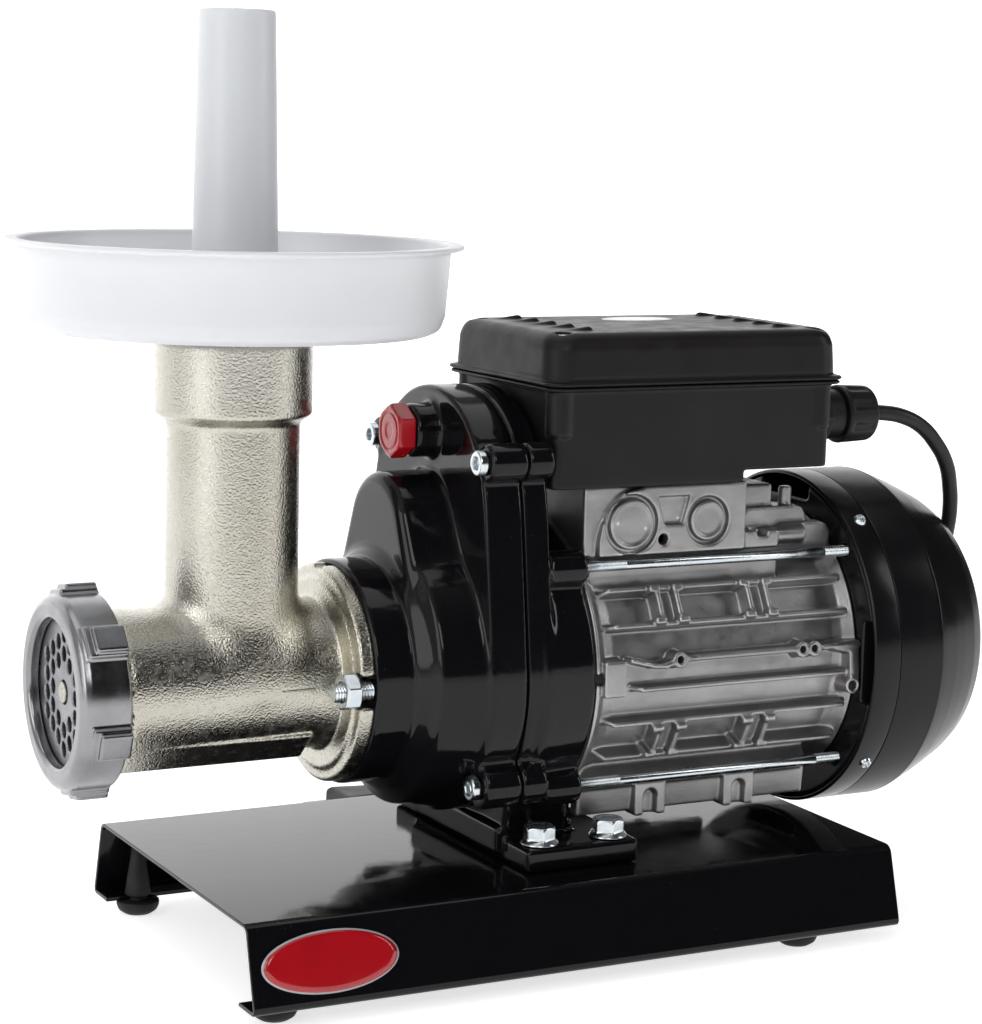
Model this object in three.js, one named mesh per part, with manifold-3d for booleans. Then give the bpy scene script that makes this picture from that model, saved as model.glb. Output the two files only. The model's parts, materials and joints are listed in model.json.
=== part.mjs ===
// Electric meat grinder: a cast grinder head driven through a two-stage gear case by a finned
// induction motor, on a folded sheet base. Millimetres, +Z up, the head points along -X.
// Until the last lines X = 0 is the front face of the head's flange, Y = 0 the plane of the two
// shafts and Z = 0 the top of the base; the last lines move the origin to the floor under the
// middle of the object.
import * as THREE from 'three';
import { mergeVertices } from 'three/addons/utils/BufferGeometryUtils.js';
import Module from 'manifold-3d';

const wasm = await Module();
wasm.setup();

// ---- driving dimensions -------------------------------------------------------------------
const GAP = 0.3;

const AXIS_Z = 96.5;
const LAY_Z = AXIS_Z + 70;

const BASE_X0 = -79.2;
const BASE_X1 = 292.7;
const BASE_HALF = 102.5;
const BASE_DEPTH = 42;
const BASE_FLARE = 10.8;
const BASE_SHEET = 2;
const BASE_LIP = 19;
const FLOOR_Z = -50;

const FOOT_X = [-61, 239];
const FOOT_Y = 94;
const FOOT_R = 11.5;
const FOOT_STEM_R = 6;

const HEAD_X = -46.9;
const BARREL_R = 38.2;
const BARREL_BORE = 33.6;
const MOUTH_X = -131;
const MOUTH_R = 44.4;
const KNIFE_BORE = 38.2;
const PLATE_R = 41;
const PLATE_X = -135;
const PLATE_T = 8.4;
const NUT_X0 = -141.5;
const NUT_X1 = -117;
const NUT_R = 48.5;
const NUT_OPENING = 36.5;
const NUT_LUGS = 6;
const NUT_LUG_FIRST = 100;
const NECK_R = 33.3;
const NECK_BORE = 28.6;
const NECK_TOP = 232;
const COLLAR_R = 39.4;
const COLLAR_TOP = 268;
const FLANGE_R = 56.3;
const FLANGE_T = 8.4;

const STUD_Y = 50;
const STUD_R = 5;
const STUD_SLOT = 15.6;

const TRAY_FLOOR = 273;
const TRAY_RIM = 317.4;
const TRAY_LIP_R = 113.4;
const SPIGOT_R = 28.2;
const SPIGOT_BORE = 26.2;
const PUSHER_TOP = 430;
const PUSHER_BOTTOM = 130.4;
const PUSHER_BOTTOM_R = 25;
const PUSHER_TOP_R = 18.8;

const CASE_X0 = 8.7;
const CASE_FLANGE_X = 62;
const CASE_SPLIT_X = 83;
const CASE_REAR_X = 98;
const SHIELD_X = 122;
const CASE_EGG = [77, 66.5, 80];
const CASE_SCREW_Y = 62.6;
const CASE_SCREW_Z = [210, 44.5];
const OIL_X = 38;
const OIL_Z = 220;
const OIL_Y = -2;
const BOLT_X = [97, 137.5];
const BOLT_Y = 66.5;
const PEDESTAL_TOP = 12.5;

const MODULE = 3.5;
const PRESSURE_ANGLE = (25 * Math.PI) / 180;
const STAGE_1 = { pinion: 11, wheel: 29, x0: 70, x1: 84 };
const STAGE_2 = { pinion: 12, wheel: 28, x0: 46, x1: 62 };

const MOTOR_X0 = 122.3;
const MOTOR_X1 = 283.7;
const MOTOR_CORE_R = 70;
const MOTOR_BORE = 62;
const FIN_R = 78;
const FIN_ANGLES = [35.3, 20.7, 6.5, -4.5, -18.3, -34.8];
const ROD_OFFSET = [59, 57];
const ROD_R = 3;

const COVER_X0 = 284;
const COVER_X1 = 371;
const COVER_R = 93;

const BOX_X0 = 99;
const BOX_X1 = 269.5;
const BOX_Y0 = -66;
const BOX_Y1 = 45;
const BOX_Z0 = 194.5;
const BOX_STEP_X = 215;
const BOX_STEP_Z = 200.5;
const BOX_RIM_Z = 247;
const LID_TOP = 274;
const LIP = 4.5;
const GLAND_Y = -36;
const GLAND_Z = 225;
const GLAND_X = [275, 290, 310];
const SWITCH_X = 150;
const SWITCH_Z = 222;

const CORD_D = 8.5;
const COIL_CENTRE = [215, 174];
const COIL_R = 47;

// Sides of the facets: large turned bodies, medium ones and small ones.
const LARGE = 28;
const MEDIUM = 20;
const SMALL = 10;
const EGG_STEPS = 5;

// ---- mesh helpers -------------------------------------------------------------------------
// One closed mesh: shared vertices merged, empty triangles dropped, faces pointing out.
function closed(geometry) {
  geometry.deleteAttribute('normal');
  geometry.deleteAttribute('uv');
  const merged = mergeVertices(geometry, 1e-4);
  const p = merged.getAttribute('position');
  const index = [];
  let volume = 0;
  for (let i = 0; i < merged.index.count; i += 3) {
    const [a, b, c] = [0, 1, 2].map((k) => merged.index.getX(i + k));
    if (a === b || b === c || c === a) {
      continue;
    }
    index.push(a, b, c);
    const [va, vb, vc] = [a, b, c].map((k) => new THREE.Vector3().fromBufferAttribute(p, k));
    volume += va.dot(vb.cross(vc));
  }
  merged.setIndex(volume < 0 ? index.reverse() : index);
  return merged;
}

function toSolid(geometry) {
  const mesh = closed(geometry);
  const vertProperties = new Float32Array(mesh.getAttribute('position').array);
  const triVerts = new Uint32Array(mesh.index.array);
  return new wasm.Manifold(new wasm.Mesh({ numProp: 3, vertProperties, triVerts }));
}

function toGeometry(solid) {
  const mesh = solid.getMesh();
  const geometry = new THREE.BufferGeometry();
  geometry.setAttribute('position', new THREE.BufferAttribute(mesh.vertProperties, 3));
  geometry.setIndex(new THREE.BufferAttribute(mesh.triVerts, 1));
  return geometry;
}

// A body with others joined to it and others cut from it.
function carve(body, added, removed) {
  let solid = toSolid(body);
  for (const piece of added) {
    solid = solid.add(toSolid(piece));
  }
  for (const piece of removed) {
    solid = solid.subtract(toSolid(piece));
  }
  return toGeometry(solid);
}

// ---- shape helpers ------------------------------------------------------------------------
function shapeOf(points) {
  return new THREE.Shape(points.map(([u, v]) => new THREE.Vector2(u, v)));
}

function extrude(shape, length, curveSegments = 12) {
  return new THREE.ExtrudeGeometry(shape, { depth: length, bevelEnabled: false, curveSegments });
}

// Outlines in (y, z) run along X, outlines in (x, z) along Y, outlines in (x, y) along Z.
function alongX(shape, x0, x1, curveSegments) {
  const basis = new THREE.Matrix4().makeBasis(
    new THREE.Vector3(0, 1, 0),
    new THREE.Vector3(0, 0, 1),
    new THREE.Vector3(1, 0, 0),
  );
  return extrude(shape, x1 - x0, curveSegments).applyMatrix4(basis).translate(x0, 0, 0);
}

function alongY(shape, y0, y1, curveSegments) {
  return extrude(shape, y1 - y0, curveSegments).rotateX(Math.PI / 2).translate(0, y1, 0);
}

function alongZ(shape, z0, z1, curveSegments) {
  return extrude(shape, z1 - z0, curveSegments).translate(0, 0, z0);
}

// Profiles are lists of [position along the axis, radius].
function latheX(profile, segments, y = 0, z = AXIS_Z) {
  const points = profile.map(([x, r]) => new THREE.Vector2(r, x));
  return new THREE.LatheGeometry(points, segments).rotateZ(-Math.PI / 2).translate(0, y, z);
}

function latheZ(profile, segments, x = 0, y = 0) {
  const points = profile.map(([z, r]) => new THREE.Vector2(r, z));
  return new THREE.LatheGeometry(points, segments).rotateX(Math.PI / 2).translate(x, y, 0);
}

function rodX(x0, x1, r, segments, y = 0, z = AXIS_Z) {
  return latheX([[x0, 0], [x0, r], [x1, r], [x1, 0]], segments, y, z);
}

function rodZ(z0, z1, r, segments, x = 0, y = 0) {
  return latheZ([[z0, 0], [z0, r], [z1, r], [z1, 0]], segments, x, y);
}

function ringX(x0, x1, inner, outer, segments, z = AXIS_Z) {
  return latheX([[x0, inner], [x0, outer], [x1, outer], [x1, inner], [x0, inner]], segments, 0, z);
}

function block(x0, x1, y0, y1, z0, z1) {
  return new THREE.BoxGeometry(x1 - x0, y1 - y0, z1 - z0)
    .translate((x0 + x1) / 2, (y0 + y1) / 2, (z0 + z1) / 2);
}

function roundedRect(u0, u1, v0, v1, r) {
  const shape = new THREE.Shape();
  shape.absarc(u1 - r, v0 + r, r, -Math.PI / 2, 0, false);
  shape.absarc(u1 - r, v1 - r, r, 0, Math.PI / 2, false);
  shape.absarc(u0 + r, v1 - r, r, Math.PI / 2, Math.PI, false);
  shape.absarc(u0 + r, v0 + r, r, Math.PI, 1.5 * Math.PI, false);
  shape.closePath();
  return shape;
}

function circle(r, u, v, sides) {
  const points = [];
  for (let i = 0; i < sides; i += 1) {
    const a = (2 * Math.PI * i) / sides;
    points.push([u + r * Math.cos(a), v + r * Math.sin(a)]);
  }
  return shapeOf(points);
}

function hexagon(acrossFlats, y, z, turn = 0) {
  const corner = acrossFlats / Math.sqrt(3);
  const points = [];
  for (let i = 0; i < 6; i += 1) {
    const a = turn + (i * Math.PI) / 3;
    points.push([y + corner * Math.cos(a), z + corner * Math.sin(a)]);
  }
  return shapeOf(points);
}

// Egg outline in (y, z): a circle of radius r0 on the output axis, one of radius r1 higher up by
// rise, and the two lines that touch both.
function egg(r0, r1, rise, lowest = 0) {
  const lean = Math.asin((r0 - r1) / rise);
  const shape = new THREE.Shape();
  shape.absarc(0, AXIS_Z + lowest, r0, Math.PI - lean, 2 * Math.PI + lean, false);
  shape.absarc(0, AXIS_Z + lowest + rise, r1, lean, Math.PI - lean, false);
  shape.closePath();
  return shape;
}

// Skin over rings of equal point count, closed at both ends by fans.
function loft(rings) {
  const count = rings[0].length;
  const vertices = rings.flat().flatMap((v) => [v.x, v.y, v.z]);
  const index = [];
  for (let k = 0; k < rings.length - 1; k += 1) {
    for (let i = 0; i < count; i += 1) {
      const a = k * count + i;
      const b = k * count + ((i + 1) % count);
      index.push(a, b, a + count, b, b + count, a + count);
    }
  }
  for (const k of [0, rings.length - 1]) {
    const centre = new THREE.Vector3();
    rings[k].forEach((v) => centre.addScaledVector(v, 1 / count));
    const hub = vertices.length / 3;
    vertices.push(centre.x, centre.y, centre.z);
    for (let i = 0; i < count; i += 1) {
      const pair = [k * count + i, k * count + ((i + 1) % count)];
      index.push(hub, ...(k === 0 ? pair.reverse() : pair));
    }
  }
  const geometry = new THREE.BufferGeometry();
  geometry.setAttribute('position', new THREE.Float32BufferAttribute(vertices, 3));
  geometry.setIndex(index);
  return geometry;
}

// ---- the assembly -------------------------------------------------------------------------
const FINISH = {
  blackGloss: { color: 0x0c0b0d, roughness: 0.12, metalness: 0.0 },
  blackPlastic: { color: 0x141315, roughness: 0.5, metalness: 0.0 },
  blackSatin: { color: 0x100f11, roughness: 0.3, metalness: 0.0 },
  rubber: { color: 0x0e0e0f, roughness: 0.8, metalness: 0.0 },
  tinnedIron: { color: 0xb9b3a4, roughness: 0.35, metalness: 1.0 },
  machined: { color: 0x8f9096, roughness: 0.35, metalness: 1.0 },
  steel: { color: 0x9a9ca1, roughness: 0.3, metalness: 1.0 },
  zinc: { color: 0xb4bcc2, roughness: 0.3, metalness: 1.0 },
  dieCast: { color: 0x8d8b8b, roughness: 0.55, metalness: 1.0 },
  redPlastic: { color: 0xb00810, roughness: 0.25, metalness: 0.0 },
  milkPlastic: { color: 0xdfe1e4, roughness: 0.4, metalness: 0.0 },
  copper: { color: 0xa4572c, roughness: 0.4, metalness: 1.0 },
  greyPlastic: { color: 0xc9c9c4, roughness: 0.5, metalness: 0.0 },
};

const grinder = new THREE.Group();

function addPart(name, geometry, finish) {
  const mesh = new THREE.Mesh(closed(geometry), new THREE.MeshStandardMaterial(FINISH[finish]));
  mesh.name = name;
  grinder.add(mesh);
}

// ---- base ---------------------------------------------------------------------------------
// Channel outline in (y, z), from the near lip over the top to the far lip and back inside.
function baseOutline() {
  const bottom = -BASE_DEPTH;
  const foot = BASE_HALF + BASE_FLARE;
  const lip = foot - BASE_LIP;
  const t = BASE_SHEET;
  const bend = 1.6;
  const outer = [
    [-lip, bottom],
    [-foot + bend, bottom],
    [-foot, bottom + bend],
    [-BASE_HALF - 0.4, -bend],
    [-BASE_HALF + bend, 0],
  ];
  const inner = [
    [-BASE_HALF + t, -t],
    [-foot + t + 0.5, bottom + t],
    [-lip, bottom + t],
  ];
  const mirror = (points) => points.map(([y, z]) => [-y, z]).reverse();
  return shapeOf([...outer, ...mirror(outer), ...mirror(inner), ...inner]);
}

function makeBase() {
  const holes = [];
  for (const side of [-1, 1]) {
    for (const x of FOOT_X) {
      holes.push(rodZ(-BASE_DEPTH - 1, -BASE_DEPTH + BASE_SHEET + 1, FOOT_STEM_R - 0.7, 8,
        x, side * FOOT_Y));
    }
    for (const x of BOLT_X) {
      holes.push(rodZ(-BASE_SHEET - 1, 1, 5.9, 8, x, side * BOLT_Y));
    }
  }
  addPart('base_plate', carve(alongX(baseOutline(), BASE_X0, BASE_X1), [], holes), 'blackGloss');
}

// Rubber foot: domed pad under the lip, waist through its hole, tapered stem above it.
function makeFoot(name, x, y) {
  const under = -BASE_DEPTH - GAP;
  const above = -BASE_DEPTH + BASE_SHEET + GAP;
  const profile = [
    [FLOOR_Z, 0],
    [FLOOR_Z, FOOT_R - 4.5],
    [FLOOR_Z + 2.2, FOOT_R - 1.2],
    [FLOOR_Z + 5, FOOT_R],
    [under, FOOT_R],
    [under, FOOT_STEM_R - 1.2],
    [above, FOOT_STEM_R - 1.2],
    [above, FOOT_STEM_R + 1.2],
    [-13, 3.2],
    [-12, 0],
  ];
  addPart(name, latheZ(profile, SMALL + 2, x, y), 'rubber');
}

// ---- gear case ----------------------------------------------------------------------------
const LUG_R = [9.7, 11.5];

function caseLugs(x0, x1, radii = LUG_R, segments = 20) {
  const lugs = [];
  for (const side of [-1, 1]) {
    CASE_SCREW_Z.forEach((z, i) => {
      lugs.push(rodX(x0, x1, radii[i], segments, side * CASE_SCREW_Y, z));
    });
  }
  return lugs;
}

function caseScrewHoles(x0, x1, r) {
  return caseLugs(x0, x1, [r, r], 12);
}

// Rooms for the gears: the output wheel and layshaft pinion in front, the first stage behind.
function gearRooms(x1) {
  return [
    rodX(43.6, x1, 54.8, MEDIUM),
    rodX(43.6, 68, 25.6, 20, 0, LAY_Z),
    alongX(egg(57.4, 56, 12, 70), 67.4, x1, 5),
  ];
}

function makeCaseFront() {
  const shoulder = latheX([
    [CASE_X0, 0],
    [CASE_X0, 58],
    [29, 58],
    [29.6, 60.6],
    [35, 66],
    [38.5, 71.2],
    [CASE_FLANGE_X + 4, 75],
    [CASE_FLANGE_X + 4, 0],
  ], LARGE);
  const ring = (x, r0, r1, rise) => egg(r0, r1, rise).getPoints(EGG_STEPS)
    .slice(0, -1)
    .map((p) => new THREE.Vector3(x, p.x, p.y));
  const bulge = loft([
    ring(31.5, 56.3, 29.5, LAY_Z - AXIS_Z),
    ring(34.2, 59.3, 32.5, LAY_Z - AXIS_Z),
    ring(CASE_FLANGE_X + 4, 71, 32.5, LAY_Z - AXIS_Z),
  ]);
  const flange = alongX(egg(...CASE_EGG), CASE_FLANGE_X + 1.2, CASE_SPLIT_X, EGG_STEPS);
  const flangeEdge = alongX(egg(CASE_EGG[0] - 1.2, CASE_EGG[1] - 1.2, CASE_EGG[2]),
    CASE_FLANGE_X, CASE_FLANGE_X + 2, EGG_STEPS);
  const added = [
    bulge,
    flange,
    flangeEdge,
    rodX(OIL_X + 10, CASE_FLANGE_X + 4, 14, 24, OIL_Y, OIL_Z),
    ...caseLugs(CASE_FLANGE_X + 0.4, CASE_SPLIT_X),
  ];
  const removed = [
    ...gearRooms(CASE_SPLIT_X + 1),
    rodX(CASE_X0 - 1, 16, 24.4, 20),
    rodX(14, 45, 35.6, 20),
    rodX(38, 45, 16.6, 16, 0, LAY_Z),
    rodX(OIL_X + 9, 68, 8.2, SMALL, OIL_Y, OIL_Z),
    ...caseScrewHoles(CASE_FLANGE_X - 1, CASE_SPLIT_X + 1, 4.3),
  ];
  for (const side of [-1, 1]) {
    removed.push(rodX(CASE_X0 - 1, 26, STUD_R + GAP, 12, side * STUD_Y));
  }
  addPart('gear_case_front', carve(shoulder, added, removed), 'blackGloss');
}

// Rear half of the case with the motor's front shield and the pedestal, one casting.
function makeCaseRear() {
  const split = CASE_SPLIT_X + GAP;
  const plate = alongX(egg(...CASE_EGG), split, CASE_REAR_X, EGG_STEPS);
  const shield = latheX([
    [CASE_REAR_X - 2, 0],
    [CASE_REAR_X - 2, 79.5],
    [SHIELD_X, 77.5],
    [SHIELD_X, 0],
  ], LARGE);
  const saddle = alongX(shapeOf([[-50, 2], [50, 2], [56, 40], [60, 70], [-60, 70], [-56, 40]]),
    split, SHIELD_X);
  const web = block(80.5, 125.7, -50.5, 50.5, 4, AXIS_Z - CASE_EGG[0] - 1);
  const flange = block(84.5, 150, -78, 78, GAP, PEDESTAL_TOP);
  const added = [shield, saddle, web, flange, ...caseLugs(split, CASE_REAR_X)];
  const rods = [];
  const rodHoles = [];
  const screwHoles = [];
  for (const side of [-1, 1]) {
    for (const up of [-1, 1]) {
      const y = side * ROD_OFFSET[0];
      const z = AXIS_Z + up * ROD_OFFSET[1];
      rods.push(rodX(CASE_REAR_X - 1, SHIELD_X - 1, 9.5, SMALL, y, z));
      rodHoles.push(rodX(104, SHIELD_X + 4, ROD_R + GAP, 12, y, z));
    }
    CASE_SCREW_Z.forEach((z) => {
      screwHoles.push(rodX(split - 1, 95.5, 4.3, 12, side * CASE_SCREW_Y, z));
    });
  }
  const motorMouth = ringX(111, SHIELD_X + 5, 27, 68, 32);
  const removed = [
    rodX(split - 1, 90, 54.8, MEDIUM),
    alongX(egg(57.4, 56, 12, 70), split - 1, 90, 5),
    rodX(84, 96, 16.6, 16, 0, LAY_Z),
    rodX(80, 130, 11, SMALL),
    rodX(104, 130, 20.6, 20),
    motorMouth,
    ...rodHoles,
    ...screwHoles,
  ];
  for (const side of [-1, 1]) {
    for (const x of BOLT_X) {
      removed.push(rodZ(-1, PEDESTAL_TOP + 1, 5.3, 12, x, side * BOLT_Y));
    }
  }
  addPart('gear_case_rear', carve(plate, [...added, ...rods], removed), 'blackGloss');
}

// Socket-head cap screw, head towards -X, with a hexagonal socket.
function makeCaseScrew(name, y, z) {
  const head = CASE_FLANGE_X - GAP;
  const body = latheX([
    [head - 4.6, 0],
    [head - 4.6, 5.7],
    [head - 3.8, 6.5],
    [head, 6.5],
    [head, 4],
    [94, 4],
    [94, 0],
  ], SMALL, y, z);
  const socket = alongX(hexagon(6, y, z), head - 5.6, head - 1.6);
  addPart(name, carve(body, [], [socket]), 'zinc');
}

// Flanged hexagon bolt through the pedestal and the base, with its nut below as one piece.
function makeBaseBolt(name, x, y) {
  const seat = PEDESTAL_TOP + GAP;
  const shank = rodZ(-BASE_SHEET - GAP - 2, seat + 1, STUD_R, 12, x, y);
  const washer = latheZ([[seat, 0], [seat, 10.5], [seat + 1.4, 10.2], [seat + 3, 7.6], [seat + 3, 0]],
    20, x, y);
  const turned = 0.3;
  const hex = alongZ(hexagon(15, x, y, turned), seat + 2, seat + 9.6);
  const trim = latheZ([[seat - 60, 0], [seat - 60, 40], [seat + 8, 9.6], [seat + 9.6, 7.2],
    [seat + 9.6, 0]], SMALL, x, y);
  const head = toGeometry(toSolid(hex).intersect(toSolid(trim)));
  const nut = alongZ(hexagon(15, x, y, turned), -BASE_SHEET - GAP - 9, -BASE_SHEET - GAP);
  addPart(name, carve(shank, [washer, head, nut], []), 'zinc');
}

function makeOilPlug() {
  const body = carve(
    alongX(hexagon(25, OIL_Y, OIL_Z, Math.PI / 6), OIL_X, OIL_X + 9.7),
    [rodX(OIL_X + 9, 60, 7.8, SMALL, OIL_Y, OIL_Z)],
    [
      latheX([[OIL_X - 1, 9], [OIL_X - 1, 11], [OIL_X + 1, 10.2], [OIL_X + 1, 9.8], [OIL_X - 1, 9]], 24,
        OIL_Y, OIL_Z),
    ],
  );
  const trim = latheX([[OIL_X - 0.6, 0], [OIL_X - 0.6, 11.8], [OIL_X + 2, 14.9], [61, 14.9], [61, 0]], 32,
    OIL_Y, OIL_Z);
  addPart('oil_plug', toGeometry(toSolid(body).intersect(toSolid(trim))), 'redPlastic');
}

// ---- gears --------------------------------------------------------------------------------
// Involute teeth with straight flanks from base circle to tip, thinned for running clearance.
// The first tooth points at angle first, measured from +Y towards +Z.
function gearShape(teeth, first, boreR, z) {
  const pitchR = (MODULE * teeth) / 2;
  const baseR = pitchR * Math.cos(PRESSURE_ANGLE);
  const tipR = pitchR + 0.88 * MODULE;
  const rootR = pitchR - 1.15 * MODULE;
  const clearance = 0.34;
  const involute = (r) => {
    const a = Math.acos(Math.min(1, baseR / r));
    return Math.tan(a) - a;
  };
  const halfAtPitch = Math.PI / (2 * teeth) - clearance / (2 * pitchR);
  const half = (r) => halfAtPitch + involute(pitchR) - involute(r);
  const footR = Math.max(rootR + 0.2, baseR);
  const corners = [[rootR, half(footR)], [footR, half(footR)], [tipR, half(tipR)]];
  const points = [];
  for (let i = 0; i < teeth; i += 1) {
    const mid = first + (2 * Math.PI * i) / teeth;
    const put = ([r, a]) => points.push([r * Math.cos(mid + a), z + r * Math.sin(mid + a)]);
    corners.forEach(([r, a]) => put([r, -a]));
    [...corners].reverse().forEach(put);
  }
  const shape = shapeOf(points);
  if (boreR > 0) {
    const hole = new THREE.Path();
    hole.absarc(0, z, boreR, 0, 2 * Math.PI, true);
    shape.holes.push(hole);
  }
  return shape;
}

const UP = Math.PI / 2;

function makeGearTrain() {
  const outputShaft = latheX([
    [9.5, 0], [9.5, 23.6], [13.6, 23.6], [13.6, 20], [44, 20], [44, 15.4], [64, 15.4], [64, 0],
  ], 20);
  const socket = alongX(shapeOf([[-8.3, AXIS_Z - 8.3], [8.3, AXIS_Z - 8.3], [8.3, AXIS_Z + 8.3],
    [-8.3, AXIS_Z + 8.3]]), 8, 30);
  addPart('output_shaft', carve(outputShaft, [], [socket]), 'steel');
  addPart('output_bearing', ringX(16, 43, 20 + GAP, 35, 20), 'steel');
  const halfTooth = Math.PI / STAGE_2.wheel;
  addPart('output_gear', alongX(gearShape(STAGE_2.wheel, UP + halfTooth, 15.4 + 2 * GAP, AXIS_Z),
    STAGE_2.x0, STAGE_2.x1), 'steel');

  const layshaft = latheX([
    [38.6, 0], [38.6, 7.5], [STAGE_2.x0 - 2, 7.5], [STAGE_2.x0 - 2, 13], [STAGE_2.x0, 13],
    [STAGE_2.x1, 13], [68, 13], [68, 11], [85, 11], [85, 7.5], [94.5, 7.5], [94.5, 0],
  ], 16, 0, LAY_Z);
  const layPinion = alongX(gearShape(STAGE_2.pinion, -UP, 0, LAY_Z), STAGE_2.x0, STAGE_2.x1);
  addPart('layshaft', carve(layshaft, [layPinion], []), 'steel');
  addPart('layshaft_gear', alongX(gearShape(STAGE_1.wheel, -UP + Math.PI / STAGE_1.wheel,
    11 + 2 * GAP, LAY_Z), STAGE_1.x0, STAGE_1.x1), 'steel');
  addPart('layshaft_bearing_front', ringX(38.4, 43.4, 7.5 + GAP, 15.8, 16, LAY_Z), 'steel');
  addPart('layshaft_bearing_rear', ringX(87, 95.6, 7.5 + GAP, 15.8, 16, LAY_Z), 'steel');
}

// ---- motor --------------------------------------------------------------------------------
function makeRotor() {
  const shaft = latheX([
    [66, 0], [66, 9], [STAGE_1.x1 + 2, 9], [STAGE_1.x1 + 2, 10], [116, 10], [116, 12.5],
    [288, 12.5], [288, 8.5], [338, 8.5], [338, 0],
  ], 16);
  const pinion = alongX(gearShape(STAGE_1.pinion, UP, 0, AXIS_Z), STAGE_1.x0, STAGE_1.x1);
  addPart('motor_shaft', carve(shaft, [pinion], []), 'steel');
  addPart('rotor', ringX(145, 245, 12.5 + 2 * GAP, 35.5, 20), 'steel');
  addPart('motor_bearing_front', ringX(104.4, 115, 10 + 2 * GAP, 19.8, 20), 'steel');
  addPart('motor_bearing_rear', ringX(288.6, 299, 8.5 + 2 * GAP, 19.8, 20), 'steel');
  const blades = [];
  for (let i = 0; i < 8; i += 1) {
    blades.push(block(312, 332, -1.5, 1.5, 14, 68).rotateX((i * Math.PI) / 4)
      .translate(0, 0, AXIS_Z));
  }
  const fan = latheX([[310, 8.5 + 2 * GAP], [310, 66], [312.5, 66], [312.5, 16], [334, 16],
    [334, 8.5 + 2 * GAP], [310, 8.5 + 2 * GAP]], 20);
  addPart('cooling_fan', carve(fan, blades, []), 'blackPlastic');
}

// Winding ends stand out of the lamination stack at both ends.
function makeStator() {
  const profile = [
    [128, 42], [128, 54], [155, 56], [155, MOTOR_BORE - GAP], [235, MOTOR_BORE - GAP],
    [235, 56], [262, 54], [262, 42], [235, 36.3], [155, 36.3], [128, 42],
  ];
  addPart('stator', latheX(profile, MEDIUM), 'copper');
}

function onMotor(geometry, degrees, side) {
  const turn = side < 0 ? -degrees : 180 + degrees;
  return geometry.rotateX((turn * Math.PI) / 180).translate(0, 0, AXIS_Z);
}

function makeMotorHousing() {
  const core = latheX([
    [MOTOR_X0, 0], [MOTOR_X0, 76.5], [130, MOTOR_CORE_R], [277, MOTOR_CORE_R],
    [MOTOR_X1, 76], [MOTOR_X1, 0],
  ], LARGE);
  const added = [];
  for (const side of [-1, 1]) {
    for (const angle of FIN_ANGLES) {
      const fin = alongY(shapeOf([
        [MOTOR_X0 + 4, -1.5], [MOTOR_X1 - 1, -1.5], [MOTOR_X1 - 1, 1.5], [MOTOR_X0 + 4, 1.5],
      ]), -FIN_R, -MOTOR_CORE_R + 4);
      added.push(onMotor(fin, angle, side));
    }
    added.push(onMotor(block(126, 139, -79.5, -66, -9.5, 9.5), 1, side));
  }
  const terminalBase = block(124, 220, -60, 40, 158, 194.2);
  const terminalNeck = block(128, 240, -52, 40, 136, 160);
  const terminalRear = block(219, 266, -48, 38, 136, 178);
  const terminalStep = block(219, 242, -59, 38, 158, 167);
  const terminalEnd = block(240, 281, -50, 38, 136, 169);
  const keel = alongX(shapeOf([[-52, 20], [52, 20], [54.5, 40], [40, 60], [-40, 60], [-54.5, 40]]),
    MOTOR_X0 + 4, 268);
  added.push(terminalBase, terminalNeck, terminalRear, terminalStep, terminalEnd, keel);
  const removed = [
    rodX(MOTOR_X0 - 1, MOTOR_X1 + 1, MOTOR_BORE, MEDIUM),
    block(130, 214, -54, 34, AXIS_Z + 50, 196),
    latheY(150.5, 174.5, 13.5, -61, -57.5, 20),
    latheY(196.5, 174.5, 10.5, -61, -57.5, SMALL),
    alongX(shapeOf([[-44, 18], [44, 18], [48, 30], [-48, 30]]), MOTOR_X0, 270),
  ];
  for (const x of [168.5, 223.5]) {
    removed.push(block(x - 4.5, x + 4.5, -62, 62, 19, 34));
  }
  addPart('motor_housing', carve(core, added, removed), 'dieCast');
}

function latheY(x, z, r, y0, y1, segments) {
  return rodZ(y0, y1, r, segments).rotateX(-Math.PI / 2).translate(x, 0, z);
}

function makeRearShield() {
  const disc = latheX([
    [COVER_X0, 14], [COVER_X0, 90.6], [296, 90.6], [300, 70], [302, 24], [302, 14],
    [COVER_X0, 14],
  ], LARGE);
  const removed = [rodX(288, 304, 20.6, 20)];
  for (const side of [-1, 1]) {
    for (const up of [-1, 1]) {
      removed.push(rodX(280, 300, ROD_R + GAP, 8, side * ROD_OFFSET[0],
        AXIS_Z + up * ROD_OFFSET[1]));
    }
  }
  for (let i = 0; i < 4; i += 1) {
    const notch = block(280, 301, 80, 95, -22, 22);
    removed.push(notch.rotateX((i * Math.PI) / 2).translate(0, 0, AXIS_Z));
  }
  addPart('rear_shield', carve(disc, [], removed), 'blackSatin');
}

function makeFanCover() {
  const wall = 2;
  const outside = [
    [COVER_X0, COVER_R],
    [327, COVER_R],
    [334, 90.6],
    [350, 83.8],
    [360, 79],
    [367.5, 74.2],
    [COVER_X1, 68],
  ];
  const inside = outside.map(([x, r]) => [x - wall / 2, r - wall]).reverse();
  inside[0] = [COVER_X1 - wall, 67];
  inside[inside.length - 1] = [COVER_X0 + GAP, COVER_R - wall];
  const shell = latheX([
    inside.at(-1),
    ...outside,
    [COVER_X1, 0],
    [COVER_X1 - wall, 0],
    ...inside,
  ], LARGE);
  const slots = [];
  for (let i = 0; i < 12; i += 1) {
    const slot = block(COVER_X1 - 4, COVER_X1 + 1, -2.6, 2.6, 22, 60);
    slots.push(slot.rotateX((i * Math.PI) / 6).translate(0, 0, AXIS_Z));
  }
  addPart('fan_cover', carve(shell, [], slots), 'blackSatin');
}

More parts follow.
